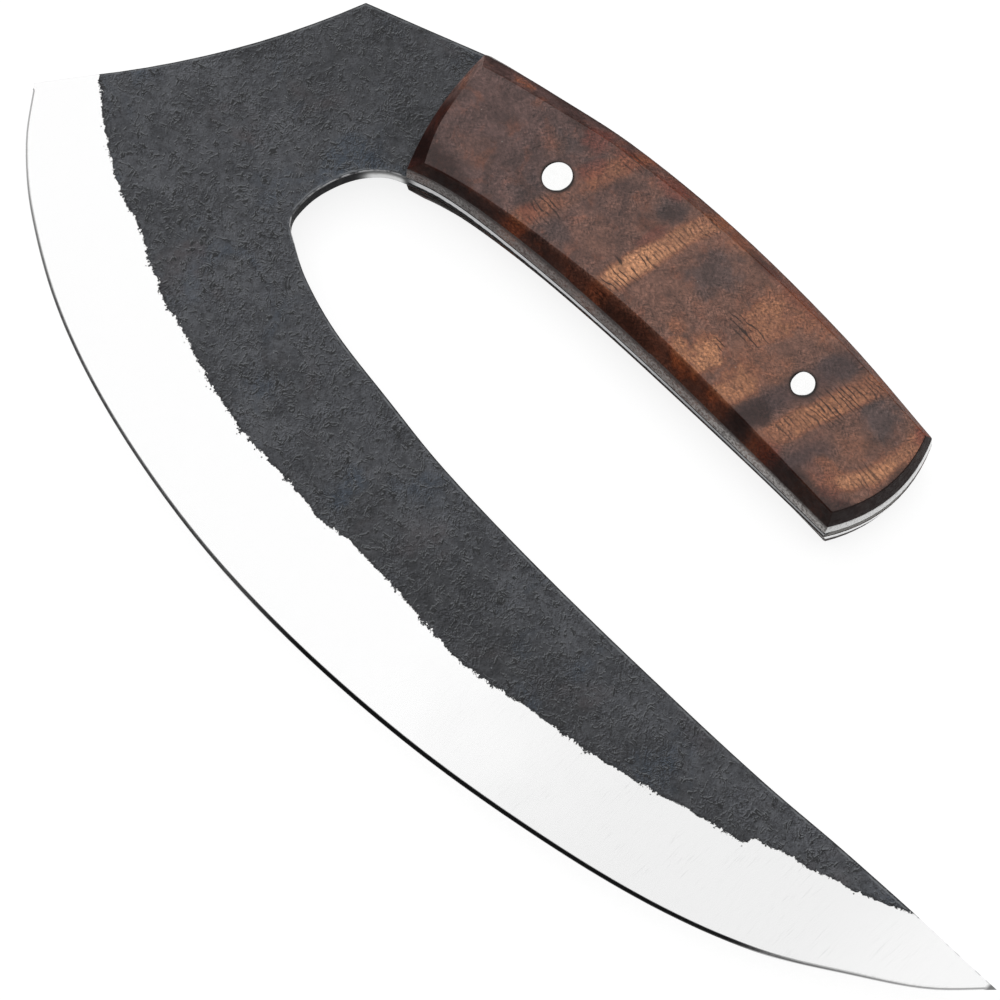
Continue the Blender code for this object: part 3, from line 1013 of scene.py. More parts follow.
@dataclass(frozen=True)
class FiguredWood:
    """Oiled dark walnut with orange-brown figure across the grip."""

    effects: Effects
    ground_front: tuple = (0.098, 0.056, 0.050)
    ground_rear: tuple = (0.160, 0.078, 0.056)
    russet: tuple = (0.185, 0.066, 0.038)
    red: tuple = (0.165, 0.040, 0.026)
    grey: tuple = (0.080, 0.054, 0.051)
    dusk: tuple = (0.062, 0.038, 0.037)
    dark: tuple = (0.026, 0.011, 0.009)
    crack: tuple = (0.022, 0.010, 0.007)
    orange: tuple = (0.310, 0.120, 0.056)
    gold: tuple = (0.530, 0.248, 0.128)
    bands: tuple = (
        FigureBand(99.6, 0.29, 0.0, 4.2, 1.7, 0.7, 0.15, (0.60, 0.46, 0.22, 0.46, 0.60, 0.40)),
        FigureBand(119.9, 0.25, 0.003, 4.9, 1.1, 0.6, 0.95, (0.30, 1.0, 0.96, 0.74, 0.58, 0.42)),
        FigureBand(167.3, 0.32, 0.0, 5.2, 1.0, 0.6, 0.35, (0.30, 0.66, 0.84, 0.76, 0.52, 0.45)),
        FigureBand(184.4, 0.255, -0.0235, 3.8, 1.6, 0.6, 0.62, (0.15, 0.90, 0.98, 0.60, 0.38, 0.25)),
    )
    dusk_bands: tuple = (
        FigureBand(160.4, 0.30, 0.0, 5.4, 1.8, 0.45, 0.0, (1.0, 1.0, 0.80, 0.80, 0.62, 0.15)),
        FigureBand(174.2, 0.33, 0.0, 5.6, 2.4, 0.6, 0.0, (0.95, 0.80, 0.15, 0.0, 0.0, 0.0)),
    )
    patches: tuple = patch_rows(
        (142.2, 51.0, 4.6, 4.4, 0.25, 1.0), (139.2, 48.6, 4.6, 2.6, 0.4, 0.70),
        (150.9, 51.4, 4.2, 5.4, 0.45, 0.76), (145.6, 65.6, 5.4, 5.4, -0.4, 0.62),
        (149.5, 71.8, 8.5, 4.2, 0.0, 0.42), (152.0, 58.5, 8.0, 4.6, -0.3, 0.26),
        (134.2, 52.0, 2.2, 2.0, 0.0, 0.40), (176.8, 57.8, 4.0, 3.8, 0.0, 0.24),
        (178.0, 51.2, 5.6, 2.2, 0.1, 0.34), (74.9, 68.3, 3.4, 2.2, 0.0, 1.0, 9.0),
        (78.6, 50.8, 5.6, 4.2, 0.2, 0.11, 20.0), (89.6, 62.6, 3.0, 3.0, 0.2, 0.10, 20.0),
        (108.0, 54.5, 5.5, 4.5, 0.3, 0.08, 20.0), (130.5, 74.0, 4.2, 2.4, 0.0, 0.35),
    )
    reds: tuple = patch_rows(
        (94.8, 70.2, 3.4, 3.4, 0.2, 0.50), (112.6, 73.2, 5.0, 2.4, 0.0, 0.60),
        (102.0, 70.8, 3.4, 3.0, 0.2, 0.40), (98.4, 64.6, 1.9, 3.6, 0.3, 0.42),
        (95.4, 48.6, 2.6, 2.2, 0.3, 0.42), (116.9, 62.6, 1.6, 4.4, 0.25, 0.42),
        (165.0, 46.2, 2.6, 2.2, 0.0, 0.45), (184.8, 70.2, 2.2, 2.4, 0.0, 0.70),
        (178.0, 48.8, 5.6, 2.2, 0.1, 0.26), (146.0, 73.8, 9.0, 2.0, 0.0, 0.30),
    )
    greys: tuple = patch_rows(
        (131.4, 65.8, 5.2, 6.6, 0.3, 0.80), (91.0, 65.2, 6.0, 2.6, 0.0, 0.70),
        (92.6, 51.8, 3.4, 4.8, 0.0, 0.60), (116.4, 69.6, 3.4, 3.6, 0.2, 0.90),
        (102.8, 49.6, 4.2, 2.4, 0.0, 0.60), (163.2, 68.4, 3.4, 4.6, 0.3, 0.90),
        (177.4, 66.2, 5.6, 4.4, 0.2, 0.95),
    )
    # The wood's own dark patches, and painted shade along the underside chamfer, at the facet's end border
    # and lower end corner, and along the crown
    dark_and_shade_patches: tuple = patch_rows(
        (157.4, 49.0, 3.4, 5.0, 0.25, 0.80), (93.0, 51.0, 2.8, 4.4, 0.0, 0.25),
        (113.6, 49.0, 5.0, 2.6, 0.0, 0.22), (116.8, 69.4, 2.8, 2.8, 0.2, 0.42),
        (176.5, 45.4, 9.0, 2.6, 0.0, 0.85), (75.0, 43.6, 13.0, 3.4, 0.1, 0.85),
        (126.0, 45.2, 7.0, 2.0, 0.0, 0.45), (183.9, 46.0, 5.0, 4.2, 0.0, 0.95),
        (188.0, 56.0, 2.1, 14.0, 0.0, 0.80), (86.5, 70.8, 7.0, 2.4, 0.2, 0.55),
        (68.5, 68.0, 3.5, 1.8, 0.2, 0.45), (137.5, 74.2, 7.0, 1.6, 0.0, 0.55),
    )
    cracked: tuple = patch_rows(
        (168.4, 62.6, 4.0, 8.4, 0.32, 1.0), (144.8, 61.2, 5.4, 2.4, 0.0, 1.0),
        (142.6, 55.2, 3.0, 1.0, 0.0, 0.90), (118.6, 53.5, 3.8, 8.4, 0.25, 0.95),
        (121.0, 65.0, 3.0, 6.0, 0.25, 0.60), (97.8, 51.6, 4.2, 4.6, 0.2, 0.95),
        (103.0, 71.4, 3.6, 2.6, 0.0, 0.80), (171.6, 70.4, 3.2, 4.0, 0.3, 0.75),
        (164.6, 51.0, 2.6, 3.4, 0.0, 0.70), (182.6, 56.0, 3.2, 4.5, 0.3, 0.60),
        (123.4, 72.0, 3.0, 3.0, 0.2, 0.75),
    )
    def build(self) -> bpy.types.NodeTree:
        """Builds the wood's colour, shine and height as one node group.

        Returns:
            The group, with Vector in plan millimetres, and Color, Figure, Shine and Height out.
        """
        outputs = {"Color": "Color", "Figure": "Float", "Shine": "Float", "Height": "Float"}
        tree, bench, given, result = new_group("figured_wood", {"Vector": None}, outputs)
        plan = given["Vector"]
        x = bench.parts(plan)[0]
        figure, gold = self._figure(bench, plan)
        curl, hairs = self._curl(bench, plan)
        ripple, cracks = self._ripples(bench, plan)
        pores = self._pores(bench, plan)
        tone = bench.noise(plan, 5.2, 5.0, 0.62, 0.8)
        place = bench.plus(bench.less(tone, 0.5), 40.0, x)
        colour = bench.mix(bench.step(place, 84.0, 132.0), self.ground_front, self.ground_rear)
        russet = bench.noise(bench.turned(plan, 30.0), 4.2, 3.0, 0.55, 0.5)
        colour = bench.mix(bench.step(russet, 0.50, 0.70, 0.0, 0.45), colour, self.russet)
        colour = bench.mix(self._patched(bench, plan, self.greys), colour, self.grey)
        colour = bench.shade(colour, bench.step(tone, 0.30, 0.70, 0.70, 1.28))
        colour = bench.mix(self._banded(bench, plan, self.dusk_bands)[0], colour, self.dusk)
        # Dark patches, partly painted shade, that also dim the figure
        shaded = self._patched(bench, plan, self.dark_and_shade_patches)
        colour = bench.mix(shaded, colour, self.dark)
        warm = bench.mix(gold, self.orange, self.gold)
        figure = bench.times(figure, bench.plus(shaded, -0.8, 1.0))
        lively = bench.least(bench.times(figure, bench.step(curl, 0.25, 0.75, 0.78, 1.16)), 1.0)
        fringe = bench.times(bench.step(lively, 0.15, 0.36), bench.step(lively, 0.66, 0.40, 0.0, 0.28))
        colour = bench.mix(lively, bench.mix(fringe, colour, self.red), warm)
        colour = bench.mix(self._patched(bench, plan, self.reds), colour, self.red)
        fine = bench.noise(bench.scaled(bench.turned(plan, -8.0), (0.62, 1.0, 1.0)), 0.60, 3.0, 0.6, 0.6)
        curled = bench.step(curl, 0.20, 0.80, 0.74, 1.26)
        grain = bench.times(bench.step(fine, 0.26, 0.74, 0.80, 1.22), curled)
        # Painted light and shade: a crinkled relief lit from -x, and ripple bands across the figure
        rough = bench.step(bench.noise(bench.turned(plan, 70.0), 7.0, 2.0), 0.36, 0.64, 0.22, 0.72)
        drawn = bench.scaled(plan, (0.80, 1.15, 0.80))
        lit = bench.times(bench.lit(self.effects.crinkle, drawn, 0.17), rough)
        rippled = bench.times(ripple, lively, -0.18)
        painted_relief_and_ripple = bench.math("ADD", bench.plus(lit, 1.0, 1.0), rippled)
        painted_relief_and_ripple = bench.least(bench.most(painted_relief_and_ripple, 0.45), 1.80)
        colour = bench.shade(colour, bench.times(grain, painted_relief_and_ripple))
        colour = bench.stain(colour, hairs, 0.55, self.crack)
        colour = bench.stain(colour, cracks, 0.92, self.crack)
        colour = bench.stain(colour, pores, 0.55, self.crack)
        pale = bench.mask(self.effects.specks, Vector=plan, Spacing=2.6, Size=0.17, Amount=0.16)
        colour = bench.stain(colour, pale, 0.45, (0.34, 0.28, 0.25))
        colour = bench.mix(self._pin_halos(bench, plan), colour, self.crack)
        shine = bench.step(bench.noise(plan, 1.2, 4.0, 0.6), 0.3, 0.7)
        height = bench.plus(curl, 0.6, bench.times(fine, 0.5))
        marks = bench.most(pores, bench.most(cracks, bench.times(hairs, 0.5)))
        bench.wire(result, {
            "Color": colour,
            "Figure": figure,
            "Shine": bench.less(shine, bench.times(pores, 0.8)),
            "Height": bench.less(height, marks),
        })
        return tree

    def _figure(self, bench: NodeBench, plan: Any) -> tuple:
        """How much figure shows at a place, and how golden it is.

        Args:
            bench: the group's bench.
            plan: plan coordinates.

        Returns:
            The figure's socket and the gold's.
        """
        spots = self._patched(bench, plan, self.patches)
        bands, band_gold = self._banded(bench, plan, self.bands)
        uneven = bench.step(bench.noise(plan, 2.6, 3.0, 0.6, 0.5), 0.34, 0.62, 0.78, 1.08)
        gold = bench.most(bench.times(spots, spots, 0.55), band_gold)
        return bench.times(bench.most(spots, bands), uneven), gold

    def _banded(self, bench: NodeBench, plan: Any, bands: tuple) -> tuple:
        """The strongest of some bands at a place.

        Args:
            bench: the group's bench.
            plan: plan coordinates.
            bands: the bands.

        Returns:
            The mask's socket, and that of the mask times each band's gold.
        """
        shape_fields = ("centre", "slant", "bend", "width", "softness", "wander")
        y = bench.parts(plan)[1]
        mask: Any = 0.0
        gold: Any = 0.0
        for band in bands:
            shape = {name.title(): getattr(band, name) for name in shape_fields}
            placed = bench.mask(self.effects.figure_band, Vector=plan, **shape)
            strong = bench.times(placed, bench.profile(y, 46.0, 76.0, band.strengths))
            mask = bench.most(strong, mask)
            gold = bench.most(bench.times(strong, band.gold), gold)
        return mask, gold

    def _patched(self, bench: NodeBench, plan: Any, patches: tuple) -> Socket:
        """The strongest of some patches at a place.

        Args:
            bench: the group's bench.
            plan: plan coordinates.
            patches: the patches.

        Returns:
            The mask's socket.
        """
        mask: Any = 0.0
        for patch in patches:
            place = (patch.x, patch.y, 0.0)
            reach = (patch.reach_x, patch.reach_y, patch.depth)
            placed = bench.mask(self.effects.patch, Vector=plan, Place=place, Reach=reach, Slant=patch.slant)
            mask = bench.most(bench.times(placed, patch.strength), mask)
        return mask

    def _curl(self, bench: NodeBench, plan: Any) -> tuple:
        """The curly grain, and the dark hairlines that follow it.

        Args:
            bench: the group's bench.
            plan: plan coordinates.

        Returns:
            The curl's socket and the hairlines'.
        """
        curl = bench.noise(bench.scaled(plan, (0.75, 1.0, 1.0)), 1.25, 3.0, 0.55, 1.8)
        swirl = bench.away(bench.less(curl, 0.5))
        hairs = bench.step(swirl, 0.022, 0.004)
        broken = bench.step(bench.noise(bench.turned(plan, 35.0), 1.6, 2.0), 0.46, 0.60)
        return curl, bench.times(hairs, broken)

    def _ripples(self, bench: NodeBench, plan: Any) -> tuple:
        """Fine ripples that lie along the grip, and the dark cracks in their hollows.

        Args:
            bench: the group's bench.
            plan: plan coordinates.

        Returns:
            The ripples' socket, from -1 to 1, and the cracks' mask.
        """
        level = bench.turned(plan, 4.0)
        drift = bench.noise(bench.scaled(level, (0.40, 0.8, 1.0)), 2.2, 2.0, 0.5)
        phase = bench.plus(drift, 16.0, bench.times(bench.parts(level)[1], 6.6))
        ripple = bench.math("SINE", phase)
        broken = bench.step(bench.noise(bench.scaled(level, (0.30, 1.0, 1.0)), 1.1, 1.0), 0.40, 0.50)
        hollow = bench.times(bench.step(ripple, 0.50, 0.88), broken)
        strong = bench.plus(self._patched(bench, plan, self.cracked), 0.94, 0.06)
        return ripple, bench.times(hollow, strong)

    def _pin_halos(self, bench: NodeBench, plan: Any) -> Socket:
        """The darkened wood round the pins.

        Args:
            bench: the group's bench.
            plan: plan coordinates.

        Returns:
            The mask's socket.
        """
        halo: Any = 0.0
        for node in PINS:
            place, radius = pin_place(node)
            away = bench.length(bench.scaled(bench.shifted(plan, tuple(-place)), (1.0, 1.0, 0.0)))
            near = bench.step(away, radius + 1.1, radius + 0.35, 0.0, 0.62)
            ring = bench.step(away, radius + 0.56, radius + 0.44, 0.0, 0.9)
            halo = bench.most(bench.most(near, ring), halo)
        return halo

    def _pores(self, bench: NodeBench, plan: Any) -> Socket:
        """Fine open pores, short along the grip.

        Args:
            bench: the group's bench.
            plan: plan coordinates.

        Returns:
            The mask's socket.
        """
        fine = bench.noise(bench.scaled(bench.turned(plan, -10.0), (0.40, 1.0, 0.6)), 0.24, 1.0, 0.5)
        return bench.step(fine, 0.66, 0.74)


class WoodSide(Enum):
    """The kinds of face that a scale has, in the order of its materials."""

    FACET = 0
    CHAMFER = 1
    WALL = 2
    END = 3
    TIP = 4
    FRONT = 5


@dataclass(frozen=True)
class WoodFinish:
    """How one kind of face looks: a polished facet and hand-rubbed chamfers, each kind with its own tint as
    painted light and shade.

    The tints paint shade on the chamfers, walls and end and a highlight on the front's upper part. A speckled
    layer of painted reflection lies in a share along the grip, given at even distances, and thins towards the
    wall's top: pale on the walls, near-white on the tip and dark blue-grey on the end. A glow paints a warmer
    sheen where the figure shows, and a rim under 1 paints shade at the foot of a chamfer and wears its upper
    arris.
    """

    name: str
    low_tint: tuple
    crown_tint: tuple
    specular: float
    coat: float
    rough: tuple
    dust_and_sheen: float = 0.0
    dust_and_sheen_colour: tuple = (0.60, 0.575, 0.555)
    dust_and_sheen_along: tuple = (0.40, 0.34, 0.32, 0.50, 0.92, 1.0)
    glow: float = 0.0
    figure_sheen_tint: tuple = (0.92, 0.52, 0.36)
    rim: float = 1.0

    def build(self, wood: bpy.types.NodeTree) -> bpy.types.Material:
        """Builds the look.

        Args:
            wood: the wood's node group.

        Returns:
            The material.
        """
        material, bench, shader = principled("wood_" + self.name)
        plan = bench.plan()
        x, y, z = bench.parts(plan)
        grown = bench.group(wood, Vector=plan)
        # Painted light and shade: each kind of face's tint, darker on chamfers, walls and end, paler on the
        # tip and the front's upper part; a warmer tint paints a sheen where the figure shows
        tint = bench.mix(bench.step(y, 52.0, 62.0), self.low_tint, self.crown_tint)
        tint = bench.mix(bench.times(grown.outputs["Figure"], self.glow), tint, self.figure_sheen_tint)
        colour = bench.mix(1.0, grown.outputs["Color"], tint, "MULTIPLY")
        over_wall = bench.less(bench.away(z), bench.step(x, 63.5, 186.0, 5.6, 4.0))
        if self.rim < 1:
            # Painted shade at a chamfer's foot on the crown side, and its upper arris worn
            arris = bench.step(bench.away(z), 8.3, 9.5, 0.0, 0.75)
            worn = bench.mix(1.0, grown.outputs["Color"], (0.86, 0.78, 0.74), "MULTIPLY")
            shaded = bench.times(bench.step(over_wall, 1.7, 0.2), bench.step(y, 56.0, 60.0), 1.0 - self.rim)
            colour = bench.mix(shaded, bench.mix(arris, colour, worn), (0.018, 0.010, 0.009))
        if self.dust_and_sheen:
            # Painted reflection, speckled with grit: more of it towards the wall's foot, and a band of
            # painted shade at the wall's top
            grit = bench.noise(plan, 0.55, 4.0, 0.72)
            low_down = bench.step(over_wall, 0.0, -1.4, 0.12, 1.15)
            place = bench.times(bench.profile(x, 66.0, 190.0, self.dust_and_sheen_along), low_down)
            share = bench.times(bench.step(grit, 0.34, 0.66, 0.10, 1.20), place, self.dust_and_sheen)
            colour = bench.mix(bench.step(over_wall, -1.1, 0.0, 0.0, 0.75), colour, (0.030, 0.018, 0.016))
            colour = bench.mix(bench.least(share, 1.0), colour, self.dust_and_sheen_colour)
        bench.wire(shader, {
            "Base Color": colour,
            "Roughness": bench.blend(grown.outputs["Shine"], self.rough[1], self.rough[0]),
            "Normal": bench.bump(grown.outputs["Height"], 0.02 * MM),
            "Specular IOR Level": self.specular,
            "Coat Roughness": 0.12,
            "Coat Weight": self.coat,
        })
        return material


@dataclass(frozen=True)
class PinSteel:
    """Bright pin stock, sanded flush with the wood in one direction."""

    effects: Effects
    bright: tuple = (1.0, 1.0, 0.995)

    def build(self) -> bpy.types.Material:
        """Builds the pins' material.

        Returns:
            The material.
        """
        material, bench, shader = principled("pin_steel_look")
        plan = bench.plan()
        streaks = bench.noise(bench.scaled(bench.turned(plan, 8.0), (0.06, 1.0, 1.0)), 0.10, 2.0, 0.6)
        dull = bench.noise(plan, 1.4, 3.0)
        tint = bench.mix(bench.step(dull, 0.45, 0.75, 0.0, 0.35), self.bright, (0.93, 0.93, 0.92))
        scratches = self.effects.scratches
        marks = bench.mask(scratches, Vector=plan, Angle=0.6, Width=0.05, Length=2.0, Amount=0.15)
        tint = bench.stain(tint, marks, 0.12, (0.55, 0.55, 0.55))
        bench.wire(shader, {
            "Base Color": tint,
            "Metallic": 1.0,
            "Roughness": bench.step(streaks, 0.3, 0.7, 0.18, 0.30),
            "Normal": bench.bump(streaks, 0.002 * MM),
        })
        return material


@dataclass(frozen=True)
class DarkGlue:
    """Hard dark glue with wood dust in it, painted pale at the grip's free end as a highlight."""

    effects: Effects

    def build(self) -> bpy.types.Material:
        """Builds the glue's material.

        Returns:
            The material.
        """
        material, bench, shader = principled("dark_glue_look")
        plan = bench.plan()
        dust_and_sheen = bench.mask(self.effects.mottle, Vector=plan, Size=0.5, Low=0.45, High=0.75)
        colour = bench.mix(dust_and_sheen, (0.010, 0.008, 0.007), (0.035, 0.024, 0.018))
        x, y, _ = bench.parts(plan)
        # Painted highlight: pale where the glue reaches the grip's free end
        end = bench.step(bench.plus(y, -END_LEAN, x), 180.4, 180.8)
        bench.wire(shader, {
            "Base Color": bench.mix(end, colour, (0.55, 0.54, 0.52)),
            "Roughness": bench.step(dust_and_sheen, 0.0, 1.0, 0.45, 0.75),
            "Normal": bench.bump(dust_and_sheen, 0.03 * MM, 0.8),
        })
        return material


# The plate


class RailSide(Enum):
    """The two rails between which the plate is drawn, numbered as in each pair of places."""

    OUTER = 0
    INNER = 1


@dataclass
class Plate:
    """The forged plate: blade, heel, throat and tang in one skin.

    Each pair of rail places cuts the outline at a corner or a turn. Between them the two rails have
    the same number of stations, and rows of points cross the plate from one rail to the other.
    """

    face_look: bpy.types.Material
    wall_look: bpy.types.Material
    station_mm: float = 0.8
    tang_station_mm: float = 1.6
    row_mm: float = 0.95
    # The arrises' radius, the most that it takes of half the plate's thickness, and the row that tells this
    arris_mm: float = 0.25
    arris_share: float = 0.6
    arris_row: int = 4
    relief_mm: float = 0.09
    # The forged unevenness grows between these distances from the forge scale's border
    relief_fade_mm: tuple = (-0.4, 0.8)
    # The scales hide the plate past this plan place, which stays even
    hidden_from: tuple = (66.0, 36.0)
    hole_gap_mm: float = 0.3
    cutter_mm: float = 30.0
    # Distances from a rail of the rows near it: close together at the arris
    close_rows: tuple = (0.0, 0.05, 0.12, 0.25, 0.45, 0.70, 0.90, 1.15, 1.6)
    # The wall's rows, from its top at 1 to its foot at -1, and how much of its height they span
    wall_rows: tuple = (1.0, 0.5, 0.0, -0.5, -1.0)
    wall_span: float = 0.98
    # Plan places on the outer and the inner rail, from the point to the tang's end
    rail_pairs: tuple = (
        ((270.0, 0.0), (270.0, 0.0)),
        ((205.0, -36.4), (214.0, -1.3)),
        ((120.4, -46.8), (120.4, -0.3)),
        ((26.0, -23.6), (72.5, 7.6)),
        ((0.0, 0.0), (60.6, 14.5)),
        ((16.5, 22.0), (59.2, 20.5)),
        ((36.6, 60.6), (62.6, 32.0)),
        ((63.5, 70.0), (70.3, 38.7)),
        ((186.0, 72.4), (184.0, 43.4)),
    )
    # The ragged lower border of the forge scale
    border: tuple = (
        (8.6, 11.0), (13.6, 6.4), (19.5, 2.2), (24.9, -1.4), (31.6, -4.8), (39.3, -7.2), (46.2, -11.1),
        (51.0, -13.1), (55.4, -15.3), (62.2, -16.6), (71.3, -20.0), (85.7, -23.3), (97.5, -23.8),
        (109.9, -25.3), (117.9, -24.3), (130.9, -24.9), (140.1, -26.0), (154.1, -26.5), (160.3, -25.0),
        (168.5, -23.5), (179.6, -22.2), (192.5, -19.5), (202.6, -16.4), (211.1, -14.6), (215.3, -13.7),
        (216.8, -11.5), (221.3, -10.0), (230.3, -7.6), (238.6, -4.9), (244.2, -2.7), (248.9, -0.4),
        (256.0, 3.0),
    )
    rails: dict = field(default_factory=dict)

    def build(self) -> Piece:
        """Builds and dresses the plate.

        Returns:
            The finished piece.
        """
        self._draw_rails()
        piece = self._skin()
        self._drill(piece)
        walls = np.array([item.value for item in piece.data.attributes["wall"].data])
        on_wall = [float(walls[list(face.vertices)].mean()) > 0.55 for face in piece.data.polygons]
        dress(piece, (self.face_look, self.wall_look), "forged_steel", "blade")
        piece.data.polygons.foreach_set("material_index", np.array(on_wall, np.int32))
        return piece

    @staticmethod
    def _outline() -> np.ndarray:
        """The plate's outline just over its middle plane.

        Returns:
            Its plan places, in order.
        """
        guide = copy_of_node("blade", "outline_guide")
        height = HEEL.z + 0.01 * MM
        bpy.ops.object.mode_set(mode="EDIT")
        bpy.ops.mesh.select_all(action="SELECT")
        bpy.ops.mesh.bisect(plane_co=(0, 0, height), plane_no=(0, 0, 1), clear_inner=True, clear_outer=True)
        bpy.ops.object.mode_set(mode="OBJECT")
        neighbours: dict = {}
        for edge in guide.data.edges:
            first, second = edge.vertices
            neighbours.setdefault(first, []).append(second)
            neighbours.setdefault(second, []).append(first)
        places = np.array([vertex.co for vertex in guide.data.vertices])
        bpy.data.objects.remove(guide, do_unlink=True)
        start = int(places[:, 0].argmax())
        loop = [start]
        before, here = -1, start
        while True:
            ahead = [index for index in neighbours[here] if index != before]
            before, here = here, ahead[0]
            if here == start:
                return (places[loop][:, :2] - np.array(HEEL[:2])) / MM
            loop.append(here)

    def _draw_rails(self) -> None:
        """Splits the outline into the two rails and spaces their stations."""
        outline = self._outline()
        count = len(outline)
        marks = {}
        for side in RailSide:
            corners = [np.array(pair[side.value]) for pair in self.rail_pairs]
            marks[side] = [int(np.linalg.norm(outline - corner, axis=1).argmin()) for corner in corners]
        forward = (marks[RailSide.OUTER][1] - marks[RailSide.OUTER][0]) % count
        direction = 1 if forward < count / 2 else -1
        spans: dict = {side: [] for side in RailSide}
        for side, way in ((RailSide.OUTER, direction), (RailSide.INNER, -direction)):
            for start, end in zip(marks[side], marks[side][1:]):
                steps = ((end - start) * way) % count
                spans[side].append(outline[[(start + way * step) % count for step in range(steps + 1)]])
        lines: dict = {side: [] for side in RailSide}
        last = len(self.rail_pairs) - 2
        for index in range(last + 1):
            pitch = self.tang_station_mm if index == last else self.station_mm
            longest = max(self._length(spans[side][index]) for side in RailSide)
            stations = max(int(round(longest / pitch)), 4)
            for side in RailSide:
                lines[side].append(self._even(spans[side][index], stations + 1)[:-1])
        for side in RailSide:
            self.rails[side] = np.vstack(lines[side] + [spans[side][last][-1:]])

    @staticmethod
    def _length(line: np.ndarray) -> float:
        """The length of a line of places."""
        return float(np.linalg.norm(np.diff(line, axis=0), axis=1).sum())

    @staticmethod
    def _even(line: np.ndarray, count: int) -> np.ndarray:
        """A line's places set again at even distances.

        Args:
            line: the line.
            count: how many places it gets.

        Returns:
            The new places.
        """
        steps = np.concatenate(([0.0], np.cumsum(np.linalg.norm(np.diff(line, axis=0), axis=1))))
        wanted = np.linspace(0.0, steps[-1], count)
        return np.column_stack([np.interp(wanted, steps, line[:, axis]) for axis in (0, 1)])

    def _crossings(self) -> tuple:
        """Row places for every station.

        Returns:
            Plan places, distances to the outer and to the inner rail, each with one row a station.
        """
        outer, inner = self.rails[RailSide.OUTER], self.rails[RailSide.INNER]
        widths = np.linalg.norm(inner - outer, axis=1)
        close = np.array(self.close_rows)
        middle_count = int(widths.max() / self.row_mm) - 2
        places, outer_gaps, inner_gaps = [], [], []
        for start, end, width in zip(outer, inner, widths):
            # The near rows of both rails take at most 2 of 2.6 parts of a narrow place
            left = close * min(1.0, width / (2.6 * close[-1]))
            middle = np.linspace(left[-1], width - left[-1], middle_count + 2)[1:-1]
            distances = np.concatenate((left, middle, (width - left)[::-1]))
            share = distances / max(width, 1e-6)
            places.append(start + (end - start) * share[:, None])
            outer_gaps.append(distances)
            inner_gaps.append(width - distances)
        return np.array(places), np.array(outer_gaps), np.array(inner_gaps)

    def _half_thickness(self, places: np.ndarray) -> np.ndarray:
        """Half the plate's thickness at each place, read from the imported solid.

        Args:
            places: plan places, stations by rows.

        Returns:
            Half thickness in millimetres, stations by rows.
        """
        narrow_mm, inset_mm, above_mm, thinnest_mm = 0.3, 0.03, 30.0, 0.03
        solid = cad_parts["blade"].data
        corners = [vertex.co for vertex in solid.vertices]
        tree = BVHTree.FromPolygons(corners, [face.vertices for face in solid.polygons])
        stations, rows, _ = places.shape
        index = np.arange(rows)
        heights = np.full((stations, rows), np.nan)
        for station in range(stations):
            first = places[station, 0]
            span = places[station, -1] - first
            width = float(np.linalg.norm(span))
            for row in range(rows):
                place = places[station, row]
                if width > narrow_mm:
                    inset = inset_mm / width
                    share = float(np.dot(place - first, span)) / width**2
                    place = first + span * min(max(share, inset), 1 - inset)
                hit = tree.ray_cast(plan_to_frame(place[0], place[1], above_mm), Vector((0, 0, -1)))[0]
                if hit is not None and hit.z > HEEL.z - 0.1 * MM:
                    heights[station, row] = (hit.z - HEEL.z) / MM
            known = ~np.isnan(heights[station])
            if known.any():
                heights[station] = np.interp(index, index[known], heights[station][known])
            else:
                heights[station] = heights[station - 1] if station else 0.05
        return np.maximum(heights, thinnest_mm)

    @staticmethod
    def _line_gap(places: np.ndarray, starts: np.ndarray, ends: np.ndarray) -> np.ndarray:
        """Distance to a line of straight parts.

        Args:
            places: plan places in one long row.
            starts: where each part starts.
            ends: where each part ends.

        Returns:
            The distances in millimetres.
        """
        best = np.full(len(places), np.inf)
        for start, end in zip(starts, ends):
            along = end - start
            share = np.clip(((places - start) @ along) / (along @ along), 0, 1)
            best = np.minimum(best, np.linalg.norm(places - start - share[:, None] * along, axis=1))
        return best

    def _border_gap(self, places: np.ndarray) -> np.ndarray:
        """Distance to the forge scale's border, more than nothing on the scale's side.

        Args:
            places: plan places in one long row.

        Returns:
            The distances in millimetres.
        """
        past_all = 50.0
        line = np.array(self.border)
        best = self._line_gap(places, line[:-1], line[1:])
        level = np.interp(places[:, 0], line[:, 0], line[:, 1])
        level = np.where(places[:, 0] > line[-1, 0], past_all, level)
        return np.where(places[:, 1] > level, best, -best)

    def _heel_station(self) -> int:
        """The station at the heel corner, where the cutting edge ends."""
        return int(np.linalg.norm(self.rails[RailSide.OUTER], axis=1).argmin())

    def _relief(self, places: np.ndarray, border: np.ndarray, face: int) -> np.ndarray:
        """The forged unevenness of one face.

        Args:
            places: plan places, stations by rows.
            border: distance to the forge scale's border at each.
            face: 1 for the front and -1 for the back.

        Returns:
            Heights in millimetres.
        """
        low, high = self.relief_fade_mm
        heights = np.zeros(border.shape)
        for station, row in np.ndindex(border.shape):
            x, y = places[station, row]
            if border[station, row] < low or (x > self.hidden_from[0] and y > self.hidden_from[1]):
                continue
            broad = noise.noise(Vector((x / 11.0, y / 11.0, face * 7.3)))
            fine = noise.noise(Vector((x / 3.2, y / 3.2, face * 3.1 + 40.0)))
            heights[station, row] = self.relief_mm * (0.75 * broad + 0.35 * fine)
        return heights * np.clip((border - low) / (high - low), 0, 1)

    def _wall_heights(self, top: float, foot: float) -> list:
        """The heights of a wall's rows.

        Args:
            top: the height of the front face at the wall.
            foot: the height of the back face at the wall.

        Returns:
            The heights from top to foot, each a little within them.
        """
        tall = top - foot
        margin = (1 - self.wall_span) / 2
        return [foot + tall * (row + 1) / 2 * self.wall_span + tall * margin for row in self.wall_rows]

